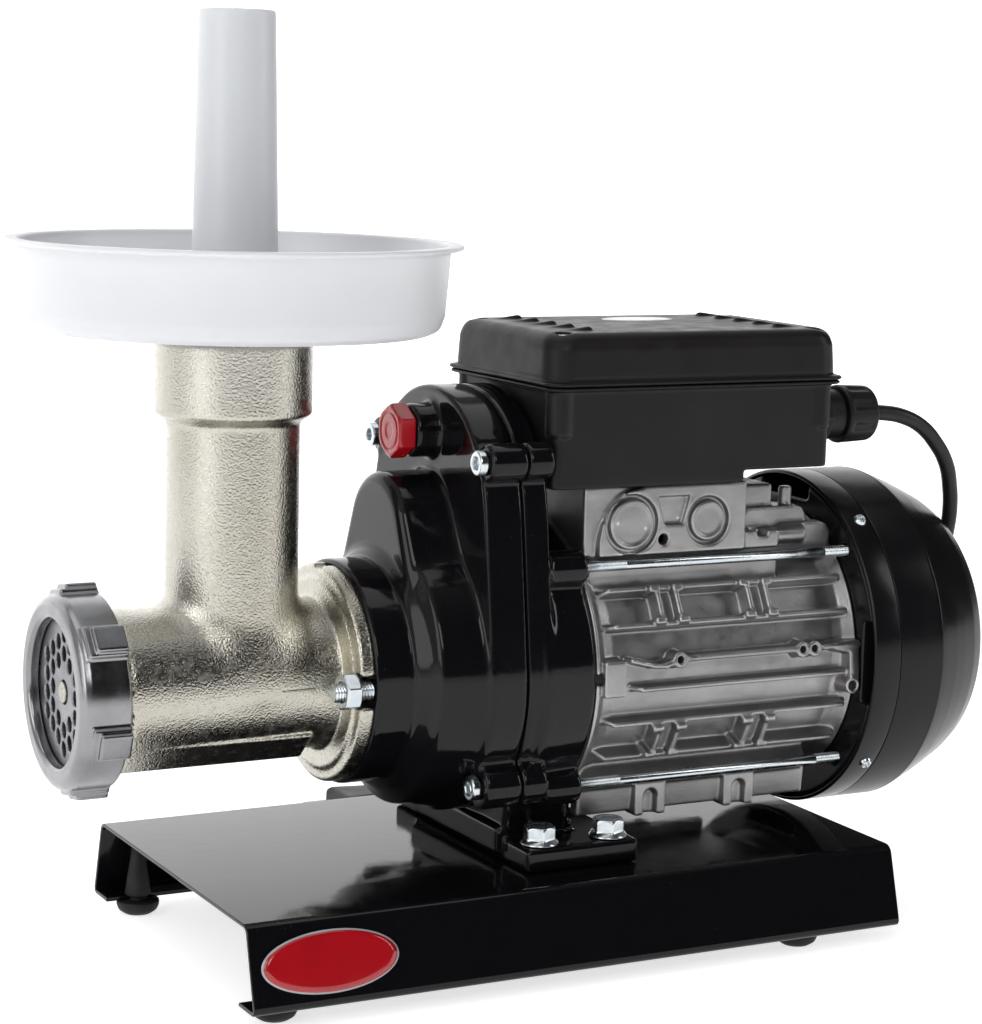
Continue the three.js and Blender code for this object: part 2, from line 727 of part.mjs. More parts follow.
// ---- electrical box -----------------------------------------------------------------------
function makeTerminalBox() {
  const wall = 2.4;
  const outline = (inset, r) => roundedRect(BOX_X0 + inset, BOX_X1 - inset, BOX_Y0 + inset,
    BOX_Y1 - inset, r);
  const shell = alongZ(outline(0, 5), BOX_Z0, BOX_RIM_Z, 2);
  const rim = alongZ(outline(1 - LIP, 7), BOX_RIM_Z - 3, BOX_RIM_Z, 2);
  const notch = (y0, y1) => block(BOX_X0 - 3, BOX_X0 + 11, y0, y1, BOX_Z0 - 1, BOX_Z0 + 27);
  const removed = [
    alongZ(outline(wall, 3), BOX_STEP_Z + wall, BOX_RIM_Z + 1, 1),
    block(BOX_STEP_X, BOX_X1 + 4, BOX_Y0 - 2, BOX_Y1 + 2, BOX_Z0 - 1, BOX_STEP_Z),
    rodX(BOX_X1 - 5, BOX_X1 + 5, 8.6, 24, GLAND_Y, GLAND_Z),
    block(SWITCH_X - 13.6, SWITCH_X + 13.6, BOX_Y1 - 5, BOX_Y1 + 3, SWITCH_Z - 10.6,
      SWITCH_Z + 10.6),
    block(150, 200, -30, 10, BOX_Z0 - 1, BOX_STEP_Z + 4),
    notch(BOX_Y0 - 3, BOX_Y0 + 1.6),
    notch(BOX_Y1 - 1.6, BOX_Y1 + 3),
  ];
  addPart('terminal_box', carve(shell, [rim], removed), 'blackPlastic');
}

function makeTerminalLid() {
  const wall = 2.4;
  const z0 = BOX_RIM_Z + GAP;
  const ring = (z, inset, r) => roundedRect(BOX_X0 + inset, BOX_X1 - inset, BOX_Y0 + inset,
    BOX_Y1 - inset, r).getPoints(2).map((p) => new THREE.Vector3(p.x, p.y, z));
  const body = loft([
    ring(z0, -LIP, 8),
    ring(z0 + 2, 0.4 - LIP, 8),
    ring(z0 + 3, 2 - LIP, 7),
    ring(LID_TOP - 7, 3 - LIP, 8),
    ring(LID_TOP - 2, 6 - LIP, 8),
    ring(LID_TOP, 11 - LIP, 6),
  ]);
  const inside = block(BOX_X0 + 2, BOX_X1 - 2, BOX_Y0 + 2, BOX_Y1 - 2, z0 - 1, LID_TOP - 2 * wall);
  const ribs = [];
  for (const [x0, x1] of [[BOX_X0 + 2, BOX_X0 + 30], [BOX_X1 - 30, BOX_X1 - 2]]) {
    for (let i = 0; i < 5; i += 1) {
      const y = BOX_Y0 + 17.5 + i * 19;
      ribs.push(block(x0, x1, y - 1.4, y + 1.4, LID_TOP - 5, LID_TOP + 1));
    }
  }
  addPart('terminal_lid', carve(body, ribs, [inside]), 'blackPlastic');
}

function makeBoxContents() {
  addPart('run_capacitor', latheX([
    [120, 0], [120, 16], [122, 18], [208, 18], [208, 0],
  ], MEDIUM, 8, BOX_STEP_Z + 22), 'greyPlastic');
  const outer = GLAND_X[2];
  const body = carve(
    alongX(hexagon(28, GLAND_Y, GLAND_Z), BOX_X1 + GAP, 280),
    [
      rodX(BOX_X1 - 8, GLAND_X[0], 8.2, SMALL, GLAND_Y, GLAND_Z),
      rodX(277, GLAND_X[1] + 8, 11, SMALL, GLAND_Y, GLAND_Z),
      rodX(277, GLAND_X[1] - GAP, 13.5, SMALL, GLAND_Y, GLAND_Z),
    ],
    [rodX(BOX_X1 - 9, GLAND_X[1] + 9, CORD_D / 2 + 0.8, 12, GLAND_Y, GLAND_Z)],
  );
  addPart('gland_body', body, 'blackPlastic');
  const nut = latheX([
    [GLAND_X[1], 11 + GAP],
    [GLAND_X[1], 15.8],
    [outer - 2, 15.8],
    [outer, 13.4],
    [outer, CORD_D / 2 + 0.8],
    [GLAND_X[1] + 9, CORD_D / 2 + 0.8],
    [GLAND_X[1] + 9, 11 + GAP],
    [GLAND_X[1], 11 + GAP],
  ], 24, GLAND_Y, GLAND_Z);
  const grips = [];
  for (let i = 0; i < 8; i += 1) {
    const a = (i * Math.PI) / 4;
    grips.push(rodX(GLAND_X[1] - 1, outer + 1, 1.4, 6, GLAND_Y + 16.2 * Math.cos(a),
      GLAND_Z + 16.2 * Math.sin(a)));
  }
  addPart('gland_nut', carve(nut, [], grips), 'blackPlastic');
}

// Rocker switch in the far wall of the box: bezel frame, body inside, see-saw actuator.
function makeSwitch() {
  const y = BOX_Y1 + GAP;
  const bezel = carve(
    alongY(roundedRect(SWITCH_X - 16, SWITCH_X + 16, SWITCH_Z - 12.5, SWITCH_Z + 12.5, 2), y, y + 3, 4),
    [block(SWITCH_X - 13, SWITCH_X + 13, BOX_Y1 - 16, y + 1, SWITCH_Z - 10, SWITCH_Z + 10)],
    [block(SWITCH_X - 11, SWITCH_X + 11, BOX_Y1 - 8, y + 4, SWITCH_Z - 8.5, SWITCH_Z + 8.5)],
  );
  addPart('switch_body', bezel, 'blackPlastic');
  const pivot = y - 1;
  const profile = [[-3, -5.4], [0, -6.4], [6, -6.2], [3.6, 0], [3, 6.2], [0, 6.4], [-3, 5.4]];
  const rocker = alongX(shapeOf(profile.map(([dy, dz]) => [pivot + dy, SWITCH_Z + dz])),
    SWITCH_X - 10, SWITCH_X + 10);
  addPart('switch_rocker', rocker, 'blackPlastic');
}

// ---- grinder head -------------------------------------------------------------------------
function makeHead() {
  const barrel = latheX([
    [MOUTH_X, 0],
    [MOUTH_X, MOUTH_R],
    [NUT_X1 - 0.5, MOUTH_R],
    [NUT_X1 + 2, BARREL_R + 1.2],
    [-16, BARREL_R - 0.8],
    [0, BARREL_R + 0.8],
    [0, FLANGE_R],
    [FLANGE_T, FLANGE_R],
    [FLANGE_T, 0],
  ], LARGE);
  const neck = latheZ([
    [AXIS_Z, 0],
    [AXIS_Z, NECK_R + 6],
    [AXIS_Z + 34, NECK_R + 4],
    [AXIS_Z + 46, NECK_R],
    [NECK_TOP - 3, NECK_R],
    [NECK_TOP + 2, COLLAR_R],
    [COLLAR_TOP, COLLAR_R],
    [COLLAR_TOP, 0],
  ], LARGE, HEAD_X);
  const keel = alongX(shapeOf([[-17, AXIS_Z - 30], [17, AXIS_Z - 30], [14, AXIS_Z - 39.6],
    [-14, AXIS_Z - 39.6]]), NUT_X1 + 2, -3);
  const removed = [
    rodX(PLATE_X, MOUTH_X + 4.7, PLATE_R + GAP, LARGE),
    rodX(MOUTH_X + 4, -112, KNIFE_BORE, 24),
    rodX(-113, -12, BARREL_BORE, MEDIUM),
    rodX(-13, FLANGE_T + 1, 12.4, 20),
    rodZ(AXIS_Z + 6, COLLAR_TOP + 1, NECK_BORE, MEDIUM, HEAD_X),
  ];
  for (const side of [-1, 1]) {
    removed.push(block(-4, FLANGE_T + 1, side > 0 ? STUD_Y : -FLANGE_R - 2,
      side > 0 ? FLANGE_R + 2 : -STUD_Y, AXIS_Z - STUD_SLOT / 2, AXIS_Z + STUD_SLOT / 2));
    removed.push(rodX(-4, FLANGE_T + 1, STUD_SLOT / 2, SMALL, side * STUD_Y));
  }
  addPart('grinder_body', carve(barrel, [neck, keel], removed), 'tinnedIron');
}

// Feed screw: a round core with one lobe, turned as it runs along X, between plain journals.
function makeWorm() {
  const x0 = -113;
  const x1 = -16;
  const pitch = 34;
  const coreFront = 14;
  const coreRear = 11;
  const flightR = 32.6;
  const rings = [];
  const steps = 22;
  for (let k = 0; k <= steps; k += 1) {
    const t = k / steps;
    const x = x0 + t * (x1 - x0);
    const turn = ((x - x0) / pitch) * 2 * Math.PI;
    const core = coreFront + t * (coreRear - coreFront);
    const lobe = [0, 24, 36, 50, 64, 76, 100, 145, 190, 235, 280, 325];
    const height = [0, 0.5, 1, 1, 1, 0.5];
    rings.push(lobe.map((degrees, i) => {
      const r = core + (height[i] ?? 0) * (flightR - core);
      const a = turn + (degrees * Math.PI) / 180;
      return new THREE.Vector3(x, r * Math.cos(a), AXIS_Z + r * Math.sin(a));
    }));
  }
  const square = (half, from, to) => alongX(shapeOf([[-half, AXIS_Z - half], [half, AXIS_Z - half],
    [half, AXIS_Z + half], [-half, AXIS_Z + half]]), from, to);
  const added = [
    rodX(x0 - 1.5, x0 + 2, 13.5, 24),
    square(7, -126, x0),
    rodX(-135.6, -125, 5.2, 20),
    rodX(x1 - 2, 9, 12, 20),
    square(8, 8, 28),
  ];
  addPart('worm', carve(loft(rings), added, []), 'tinnedIron');
}

// Four-armed knife with a square hole, its cutting edges against the plate.
function makeKnife() {
  const arms = [];
  for (let i = 0; i < 4; i += 1) {
    const arm = alongX(shapeOf([[-5.5, 8], [4, 8], [6, 35.5], [-2.5, 36.5], [-8.5, 35]]),
      -126.2, -118);
    arms.push(arm.rotateX((i * Math.PI) / 2).translate(0, 0, AXIS_Z));
  }
  const square = alongX(shapeOf([[-7.3, AXIS_Z - 7.3], [7.3, AXIS_Z - 7.3],
    [7.3, AXIS_Z + 7.3], [-7.3, AXIS_Z + 7.3]]), -130, -110);
  addPart('knife', carve(rodX(-126.2, -115, 13, 24), arms, [square]), 'steel');
}

// Round plate with the two outer rings of a hexagonal hole pattern and a centre bush.
function makePlate() {
  const pitch = 9.6;
  const holeR = 3.8;
  const disc = circle(PLATE_R, 0, AXIS_Z, LARGE);
  const drill = (y, z, r) => {
    const hole = new THREE.Path();
    hole.absarc(y, z, r, 0, 2 * Math.PI, true);
    disc.holes.push(hole);
  };
  for (let i = -3; i <= 3; i += 1) {
    for (let j = -3; j <= 3; j += 1) {
      const step = Math.max(Math.abs(i), Math.abs(j), Math.abs(i + j));
      if (step === 2 || step === 3) {
        drill(pitch * (i * Math.sqrt(3) / 2), AXIS_Z + pitch * (j + i / 2), holeR);
      }
    }
  }
  drill(0, AXIS_Z, 6);
  addPart('hole_plate', alongX(disc, PLATE_X, PLATE_X + PLATE_T, 3), 'steel');
}

function makeRingNut() {
  const ring = latheX([
    [NUT_X0, NUT_OPENING + 1.5],
    [NUT_X0, NUT_R - 5],
    [NUT_X0 + 1.6, NUT_R - 1.4],
    [NUT_X0 + 5, NUT_R],
    [NUT_X1, NUT_R],
    [NUT_X1, MOUTH_R + GAP],
    [PLATE_X - GAP, MOUTH_R + GAP],
    [PLATE_X - GAP, NUT_OPENING],
    [NUT_X0 + 1.5, NUT_OPENING],
    [NUT_X0, NUT_OPENING + 1.5],
  ], LARGE);
  const lugs = [];
  for (let i = 0; i < NUT_LUGS; i += 1) {
    const lug = alongX(shapeOf([[-9, NUT_R - 2], [-7, NUT_R + 4.6], [7, NUT_R + 4.6],
      [9, NUT_R - 2]]), NUT_X0 + 5.5, NUT_X1);
    const degrees = 90 - NUT_LUG_FIRST + i * 60;
    lugs.push(lug.rotateX((degrees * Math.PI) / 180).translate(0, 0, AXIS_Z));
  }
  addPart('ring_nut', carve(ring, lugs, []), 'machined');
}

function makeTray() {
  const profile = [
    [242, SPIGOT_BORE],
    [241, SPIGOT_BORE + 0.8],
    [242, SPIGOT_R],
    [COLLAR_TOP + GAP, SPIGOT_R],
    [COLLAR_TOP + GAP, 33],
    [TRAY_FLOOR, 34],
    [TRAY_FLOOR, 97],
    [TRAY_FLOOR + 2.6, 102],
    [TRAY_FLOOR + 9, 104.4],
    [TRAY_RIM - 3.2, 106.8],
    [TRAY_RIM - 2.2, TRAY_LIP_R],
    [TRAY_RIM, TRAY_LIP_R - 0.4],
    [TRAY_RIM, 105.6],
    [TRAY_FLOOR + 9, 101.9],
    [TRAY_FLOOR + 2.5, 96],
    [TRAY_FLOOR + 2.5, SPIGOT_BORE + 3],
    [TRAY_FLOOR, SPIGOT_BORE],
    [242, SPIGOT_BORE],
  ];
  addPart('tray', latheZ(profile, LARGE, HEAD_X), 'milkPlastic');
}

// Hollow stuffer, closed at the top, open at the bottom, with a small moulding nub.
function makePusher() {
  const wall = 2.8;
  const profile = [
    [PUSHER_BOTTOM, PUSHER_BOTTOM_R - wall],
    [PUSHER_BOTTOM, PUSHER_BOTTOM_R - 0.6],
    [PUSHER_BOTTOM + 1, PUSHER_BOTTOM_R],
    [TRAY_RIM, 21.2],
    [PUSHER_TOP - 2.6, PUSHER_TOP_R],
    [PUSHER_TOP - 1.4, PUSHER_TOP_R - 0.8],
    [PUSHER_TOP - 0.8, PUSHER_TOP_R - 2.2],
    [PUSHER_TOP - 0.8, 1.6],
    [PUSHER_TOP, 1.4],
    [PUSHER_TOP, 0],
    [PUSHER_TOP - 0.8 - wall, 0],
    [PUSHER_TOP - 0.8 - wall, PUSHER_TOP_R - wall],
    [PUSHER_BOTTOM, PUSHER_BOTTOM_R - wall],
  ];
  addPart('pusher', latheZ(profile, MEDIUM, HEAD_X), 'milkPlastic');
}

function makeStud(side, name) {
  const body = latheX([[-13, 0], [-13, 3.8], [-12, STUD_R], [24, STUD_R], [24, 0]], 16,
    side * STUD_Y);
  addPart(name, body, 'zinc');
}

// Hexagon nut with both faces chamfered at the corners.
function makeStudNut(side, name) {
  const y = side * STUD_Y;
  const x0 = -8.7;
  const x1 = -GAP;
  const hex = alongX(hexagon(17, y, AXIS_Z, Math.PI / 6 + 0.2), x0, x1);
  const trim = latheX([[x0, 0], [x0, 8.3], [x0 + 1, 9.9], [x1 - 1, 9.9], [x1, 8.3], [x1, 0]],
    24, y);
  const bored = toSolid(hex).intersect(toSolid(trim))
    .subtract(toSolid(rodX(x0 - 1, x1 + 1, STUD_R + GAP, 16, y)));
  addPart(name, toGeometry(bored), 'zinc');
}

// ---- supply cord --------------------------------------------------------------------------
// Centre line in (x, y, z) from the gland down behind the motor to the coil on the floor.
const CORD_ROUTE = [
  [310.3, -36, 225], [322, -36, 224.6], [335, -36, 222.4], [349, -35, 216.4], [361, -33, 206.6],
  [371.5, -30, 194], [377.5, -26.5, 181], [380.5, -24, 167], [381.5, -20, 150],
  [384, -11, 128], [386.5, 3, 103], [388, 20, 77], [387, 40, 50], [382, 62, 23],
  [373, 84, -3], [360, 107, -24], [344, 129.5, -38], [326, 147.5, -45], [309, 162, -45.75],
  [294, 174.7, -45.75], [271.9, 193.2, -45.75],
];

function makeCord() {
  const curve = new THREE.CatmullRomCurve3(
    CORD_ROUTE.map((p) => new THREE.Vector3(...p)), false, 'centripetal');
  const section = circle(CORD_D / 2, 0, 0, 8);
  addPart('power_cable', new THREE.ExtrudeGeometry(section, {
    steps: 26, extrudePath: curve, bevelEnabled: false,
  }), 'rubber');
  const [cx, cy] = COIL_CENTRE;
  const inner = COIL_R - CORD_D;
  const outer = COIL_R + CORD_D;
  const top = FLOOR_Z + 2 * CORD_D;
  addPart('cable_coil', latheZ([
    [FLOOR_Z, inner + 2], [FLOOR_Z, outer - 2], [FLOOR_Z + 2, outer], [top - 2, outer],
    [top, outer - 2], [top, inner + 2], [top - 2, inner], [FLOOR_Z + 2, inner],
    [FLOOR_Z, inner + 2],
  ], MEDIUM, cx, cy), 'rubber');
}

// Moulded two-pin plug lying on its flat side beside the coil, pins towards -X. Its sleeve
// starts where the outermost turn runs off the coil.
function makePlug() {
  const x0 = COIL_CENTRE[0] - 30.8;
  const y = COIL_CENTRE[1] + COIL_R + CORD_D / 2;
  const half = (x, w) => [x0 - x, w];
  const edge = [half(0, 4.6), half(34, 6.4), half(42, 13), half(62, 17), half(68, 17)];
  const outline = [
    ...edge.map(([x, w]) => [x, y - w]),
    ...[...edge].reverse().map(([x, w]) => [x, y + w]),
  ];
  const body = alongZ(shapeOf(outline), FLOOR_Z, FLOOR_Z + 18);
  const above = block(x0 - 35, x0 + 1, y - 20, y + 20, FLOOR_Z + 14, FLOOR_Z + 19);
  const below = block(x0 - 35, x0 + 1, y - 20, y + 20, FLOOR_Z - 1, FLOOR_Z + 4);
  const pins = [-9.5, 9.5].map((dy) => rodX(x0 - 86, x0 - 67, 2.4, 10, y + dy, FLOOR_Z + 9));
  addPart('plug', carve(body, pins, [above, below]), 'rubber');
}

// ---- build --------------------------------------------------------------------------------
makeBase();
for (const [end, x] of [['front', FOOT_X[0]], ['rear', FOOT_X[1]]]) {
  makeFoot(`foot_${end}_near`, x, -FOOT_Y);
  makeFoot(`foot_${end}_far`, x, FOOT_Y);
}
makeCaseFront();
makeCaseRear();
for (const [side, y] of [['near', -1], ['far', 1]]) {
  makeCaseScrew(`case_screw_top_${side}`, y * CASE_SCREW_Y, CASE_SCREW_Z[0]);
  makeCaseScrew(`case_screw_low_${side}`, y * CASE_SCREW_Y, CASE_SCREW_Z[1]);
  makeBaseBolt(`base_bolt_front_${side}`, BOLT_X[0], y * BOLT_Y);
  makeBaseBolt(`base_bolt_rear_${side}`, BOLT_X[1], y * BOLT_Y);
  for (const [level, up] of [['low', -1], ['top', 1]]) {
    addPart(`tie_rod_${level}_${side}`, rodX(105, 297, ROD_R, 12, y * ROD_OFFSET[0],
      AXIS_Z + up * ROD_OFFSET[1]), 'zinc');
  }
  makeStud(y, `stud_${side}`);
  makeStudNut(y, `stud_nut_${side}`);
}
makeOilPlug();
makeGearTrain();
makeRotor();
makeStator();
makeMotorHousing();
makeRearShield();
makeFanCover();
makeTerminalBox();
makeTerminalLid();
makeBoxContents();
makeSwitch();
makeHead();
makeWorm();
makeKnife();
makePlate();
makeRingNut();
makeTray();
makePusher();
makeCord();
makePlug();

const middleX = (HEAD_X - TRAY_LIP_R + COVER_X1) / 2;
grinder.position.set(-middleX, 0, -FLOOR_Z);

export default grinder;
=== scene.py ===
"""Looks of the electric meat grinder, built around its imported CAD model.

Sizes are millimetres in the drawing's frame: X = 0 on the front face of the head's flange, Y = 0 on
the plane of the two shafts, Z = 0 on top of the base. place() turns them into the row frame's metres.
Cast and moulded pieces are signed distance fields with rounded joins, meshed with OpenVDB.
"""
import json
import math
from collections import namedtuple
from itertools import product

import bpy
import numpy as np
import openvdb
from mathutils import Matrix, Vector


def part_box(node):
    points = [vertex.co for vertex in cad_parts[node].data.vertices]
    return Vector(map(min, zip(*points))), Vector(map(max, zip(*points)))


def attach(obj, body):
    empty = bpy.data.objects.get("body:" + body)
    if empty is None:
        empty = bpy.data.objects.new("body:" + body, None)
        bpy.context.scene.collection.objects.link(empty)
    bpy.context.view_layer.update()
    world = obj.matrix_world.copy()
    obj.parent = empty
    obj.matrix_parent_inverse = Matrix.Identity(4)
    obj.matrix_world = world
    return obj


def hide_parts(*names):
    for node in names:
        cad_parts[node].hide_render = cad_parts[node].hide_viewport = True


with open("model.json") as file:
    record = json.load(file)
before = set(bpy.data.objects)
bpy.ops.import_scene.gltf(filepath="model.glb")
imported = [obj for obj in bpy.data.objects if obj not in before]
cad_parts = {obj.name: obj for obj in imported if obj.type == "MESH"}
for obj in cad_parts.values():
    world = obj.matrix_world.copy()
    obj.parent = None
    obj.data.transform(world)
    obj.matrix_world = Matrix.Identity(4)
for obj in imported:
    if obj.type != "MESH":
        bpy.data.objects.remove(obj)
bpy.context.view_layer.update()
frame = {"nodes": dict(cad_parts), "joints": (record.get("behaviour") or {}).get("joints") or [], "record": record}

# ---- where the drawing's frame lies in the row frame ---------------------------------------------
AXIS_Z = 96.5
FLANGE_BACK = 8.4
spin = next(joint for joint in frame["joints"] if joint["name"] == "output_spin")
ORIGIN = np.array([
    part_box("grinder_body")[1].x * 1000 - FLANGE_BACK,
    0.0,
    spin["pos_m"][2] * 1000 - AXIS_Z,
])
LAY_Z = AXIS_Z + 70
FLOOR_Z = -50.0
X, Y, Z = 0, 1, 2
SIDES = {"near": -1, "far": 1}


def place(points):
    """Drawing millimetres to row metres."""
    return (np.asarray(points, float) + ORIGIN) / 1000


# ---- camera ---------------------------------------------------------------------------------------
CAMERA_AT = (-554.1, -1239.5, 382.7)
CAMERA_AZIMUTH = math.radians(-27.8)
CAMERA_ELEVATION = math.radians(8.44)
CAMERA_ROLL = math.radians(1.42)
CAMERA_LENS = 94.71
SENSOR_WIDTH = 36


def make_camera():
    data = bpy.data.cameras.new("camera")
    data.lens = CAMERA_LENS
    data.sensor_width = SENSOR_WIDTH
    data.clip_end = 20
    camera = bpy.data.objects.new("camera", data)
    back = Vector((
        math.sin(CAMERA_AZIMUTH) * math.cos(CAMERA_ELEVATION),
        -math.cos(CAMERA_AZIMUTH) * math.cos(CAMERA_ELEVATION),
        math.sin(CAMERA_ELEVATION),
    ))
    level = Vector((math.cos(CAMERA_AZIMUTH), math.sin(CAMERA_AZIMUTH), 0))
    upright = back.cross(level)
    right = level * math.cos(CAMERA_ROLL) + upright * math.sin(CAMERA_ROLL)
    up = back.cross(right)
    turn = Matrix((right, up, back)).transposed()
    camera.matrix_world = Matrix.Translation(place(CAMERA_AT)) @ turn.to_4x4()
    bpy.context.scene.collection.objects.link(camera)
    bpy.context.scene.camera = camera


make_camera()

# ---- materials ------------------------------------------------------------------------------------
materials = {}


class Paint:
    """A node material whose Principled shader gets procedural colour, roughness and bump."""

    def __init__(self, name, color, roughness, metallic=0.0, **sockets):
        self.material = bpy.data.materials.new(name)
        self.material.use_nodes = True
        self.tree = self.material.node_tree
        self.shader = self.tree.nodes["Principled BSDF"]
        self.color = color
        self.set("Base Color", (*color, 1))
        self.set("Roughness", roughness)
        self.set("Metallic", metallic)
        for socket, value in sockets.items():
            self.set(socket.replace("_", " ").title().replace("Ior", "IOR"), value)
        self.where = self.add("ShaderNodeTexCoord").outputs["Object"]
        materials[name] = self.material

    def set(self, socket, value):
        self.shader.inputs[socket].default_value = value

    def add(self, kind, **values):
        node = self.tree.nodes.new(kind)
        for name, value in values.items():
            setattr(node, name, value)
        return node

    def link(self, output, target):
        self.tree.links.new(output, target)

    def noise(self, scale, detail, roughness=0.55, stretch=(1, 1, 1)):
        node = self.add("ShaderNodeTexNoise")
        for socket, number in (("Scale", scale), ("Detail", detail), ("Roughness", roughness)):
            node.inputs[socket].default_value = number
        mapping = self.add("ShaderNodeMapping")
        mapping.inputs["Scale"].default_value = stretch
        self.link(self.where, mapping.inputs["Vector"])
        self.link(mapping.outputs["Vector"], node.inputs["Vector"])
        return node.outputs["Fac"]

    def spread(self, value, low, high, to_low=0.0, to_high=1.0):
        node = self.add("ShaderNodeMapRange")
        for socket, number in zip(("From Min", "From Max", "To Min", "To Max"),
                                  (low, high, to_low, to_high)):
            node.inputs[socket].default_value = number
        self.link(value, node.inputs["Value"])
        return node.outputs["Result"]

    def mix(self, amount, first, second):
        """first where amount is 0 and second where it is 1, each a colour or an output."""
        node = self.add("ShaderNodeMix", data_type="RGBA")
        self.link(amount, node.inputs["Factor"])
        for socket, value in (("A", first), ("B", second)):
            if isinstance(value, tuple):
                node.inputs[socket].default_value = (*value, 1)
            else:
                self.link(value, node.inputs[socket])
        return node.outputs["Result"]

    def tint(self, amount, other):
        """Colour that goes from the base to other where amount is 1."""
        self.link(self.mix(amount, self.color, other), self.shader.inputs["Base Color"])

    def worn(self, value, low, high):
        """Roughness that wanders between low and high."""
        self.link(self.spread(value, 0.3, 0.7, low, high), self.shader.inputs["Roughness"])

    def bumps(self, *heights):
        """Chained bump nodes, each (height, distance in metres, strength)."""
        normal = None
        for height, distance, strength in heights:
            node = self.add("ShaderNodeBump")
            node.inputs["Distance"].default_value = distance
            node.inputs["Strength"].default_value = strength
            self.link(height, node.inputs["Height"])
            if normal is not None:
                self.link(normal, node.inputs["Normal"])
            normal = node.outputs["Normal"]
        self.link(normal, self.shader.inputs["Normal"])

    def edges(self, low, high):
        """1 on convex edges, from the mesh's own curvature."""
        node = self.add("ShaderNodeNewGeometry")
        return self.spread(node.outputs["Pointiness"], low, high)


def gloss_enamel():
    paint = Paint("gloss_enamel", (0.0045, 0.004, 0.005), 0.07, specular_ior_level=0.28)
    paint.worn(paint.noise(60, 4), 0.05, 0.13)
    dust = paint.spread(paint.noise(1400, 1), 0.74, 0.8)
    paint.tint(dust, (0.05, 0.05, 0.05))
    paint.bumps((paint.noise(110, 2), 0.0004, 0.10), (paint.noise(900, 1), 0.0001, 0.05))


def satin_enamel():
    paint = Paint("satin_enamel", (0.006, 0.0055, 0.0065), 0.2, specular_ior_level=0.24)
    paint.worn(paint.noise(45, 4), 0.15, 0.27)
    dust = paint.spread(paint.noise(1600, 1), 0.75, 0.82)
    paint.tint(dust, (0.06, 0.06, 0.06))
    paint.bumps((paint.noise(260, 3), 0.0002, 0.10))


def moulded_black():
    paint = Paint("moulded_black", (0.0072, 0.0058, 0.0070), 0.38, specular_ior_level=0.24)
    paint.worn(paint.noise(70, 5), 0.34, 0.5)
    paint.tint(paint.spread(paint.noise(22, 5), 0.45, 0.75), (0.0100, 0.0085, 0.0100))
    paint.bumps((paint.noise(2600, 2), 0.0001, 0.18), (paint.noise(40, 2), 0.0005, 0.06))


def black_rubber():
    paint = Paint("black_rubber", (0.010, 0.010, 0.0105), 0.62, specular_ior_level=0.3)
    paint.worn(paint.noise(120, 4), 0.52, 0.74)
    paint.bumps((paint.noise(1500, 3), 0.0002, 0.25))


def cord_sheath():
    paint = Paint("cord_sheath", (0.009, 0.0085, 0.009), 0.4, specular_ior_level=0.3)
    paint.worn(paint.noise(90, 3), 0.33, 0.5)
    paint.bumps((paint.noise(700, 3), 0.0002, 0.15))


def tinned_iron():
    paint = Paint("tinned_iron", (0.55, 0.535, 0.485), 0.24, metallic=1.0)
    paint.worn(paint.noise(220, 2), 0.18, 0.30)
    paint.tint(paint.spread(paint.noise(14, 2), 0.3, 0.8), (0.47, 0.445, 0.37))
    paint.bumps((paint.noise(70, 2), 0.0008, 0.12), (paint.noise(900, 1, 0.4), 0.0006, 0.5),
                (paint.noise(1700, 2), 0.0003, 0.35))


def machined_alloy():
    paint = Paint("machined_alloy", (0.31, 0.31, 0.32), 0.22, metallic=1.0)
    paint.worn(paint.noise(90, 5), 0.14, 0.28)
    paint.tint(paint.spread(paint.noise(30, 5), 0.4, 0.7), (0.22, 0.22, 0.23))
    paint.bumps((paint.noise(1800, 2, stretch=(8, 1, 1)), 0.0001, 0.2),
                (paint.noise(50, 3), 0.0006, 0.12))


def ground_steel():
    paint = Paint("ground_steel", (0.30, 0.30, 0.32), 0.36, metallic=1.0)
    paint.worn(paint.noise(160, 4), 0.26, 0.44)
    paint.tint(paint.spread(paint.noise(45, 4), 0.4, 0.7), (0.23, 0.23, 0.245))
    paint.bumps((paint.noise(1500, 2, stretch=(1, 1, 6)), 0.0001, 0.2))


def oiled_steel():
    paint = Paint("oiled_steel", (0.42, 0.42, 0.43), 0.3, metallic=1.0)
    paint.worn(paint.noise(120, 4), 0.2, 0.4)
    paint.bumps((paint.noise(900, 3), 0.0001, 0.2))


def zinc_plate():
    paint = Paint("zinc_plate", (0.66, 0.70, 0.72), 0.2, metallic=1.0)
    paint.worn(paint.noise(200, 4), 0.14, 0.3)
    paint.tint(paint.spread(paint.noise(70, 3), 0.4, 0.7), (0.56, 0.62, 0.66))
    paint.bumps((paint.noise(800, 3), 0.0001, 0.2))


def die_cast():
    paint = Paint("die_cast", (0.38, 0.373, 0.371), 0.40, metallic=0.9)
    paint.worn(paint.noise(110, 5), 0.28, 0.44)
    flow = paint.spread(paint.noise(26, 5, stretch=(0.5, 1, 1.6)), 0.36, 0.68)
    shade = paint.mix(flow, paint.color, (0.24, 0.236, 0.236))
    # Convex edges such as fin tips are painted lighter: a painted edge highlight.
    painted_edge_highlight = paint.mix(paint.edges(0.52, 0.60), shade, (0.62, 0.61, 0.60))
    paint.link(painted_edge_highlight, paint.shader.inputs["Base Color"])
    paint.bumps((paint.noise(900, 3), 0.0003, 0.35), (paint.noise(90, 3), 0.0008, 0.12))


def red_plastic():
    paint = Paint("red_plastic", (0.42, 0.005, 0.012), 0.2, coat_weight=0.2, coat_roughness=0.08,
                  subsurface_weight=0.08)
    paint.shader.inputs["Subsurface Radius"].default_value = (0.004, 0.001, 0.001)
    paint.worn(paint.noise(140, 4), 0.15, 0.28)
    paint.bumps((paint.noise(500, 3), 0.0001, 0.2))


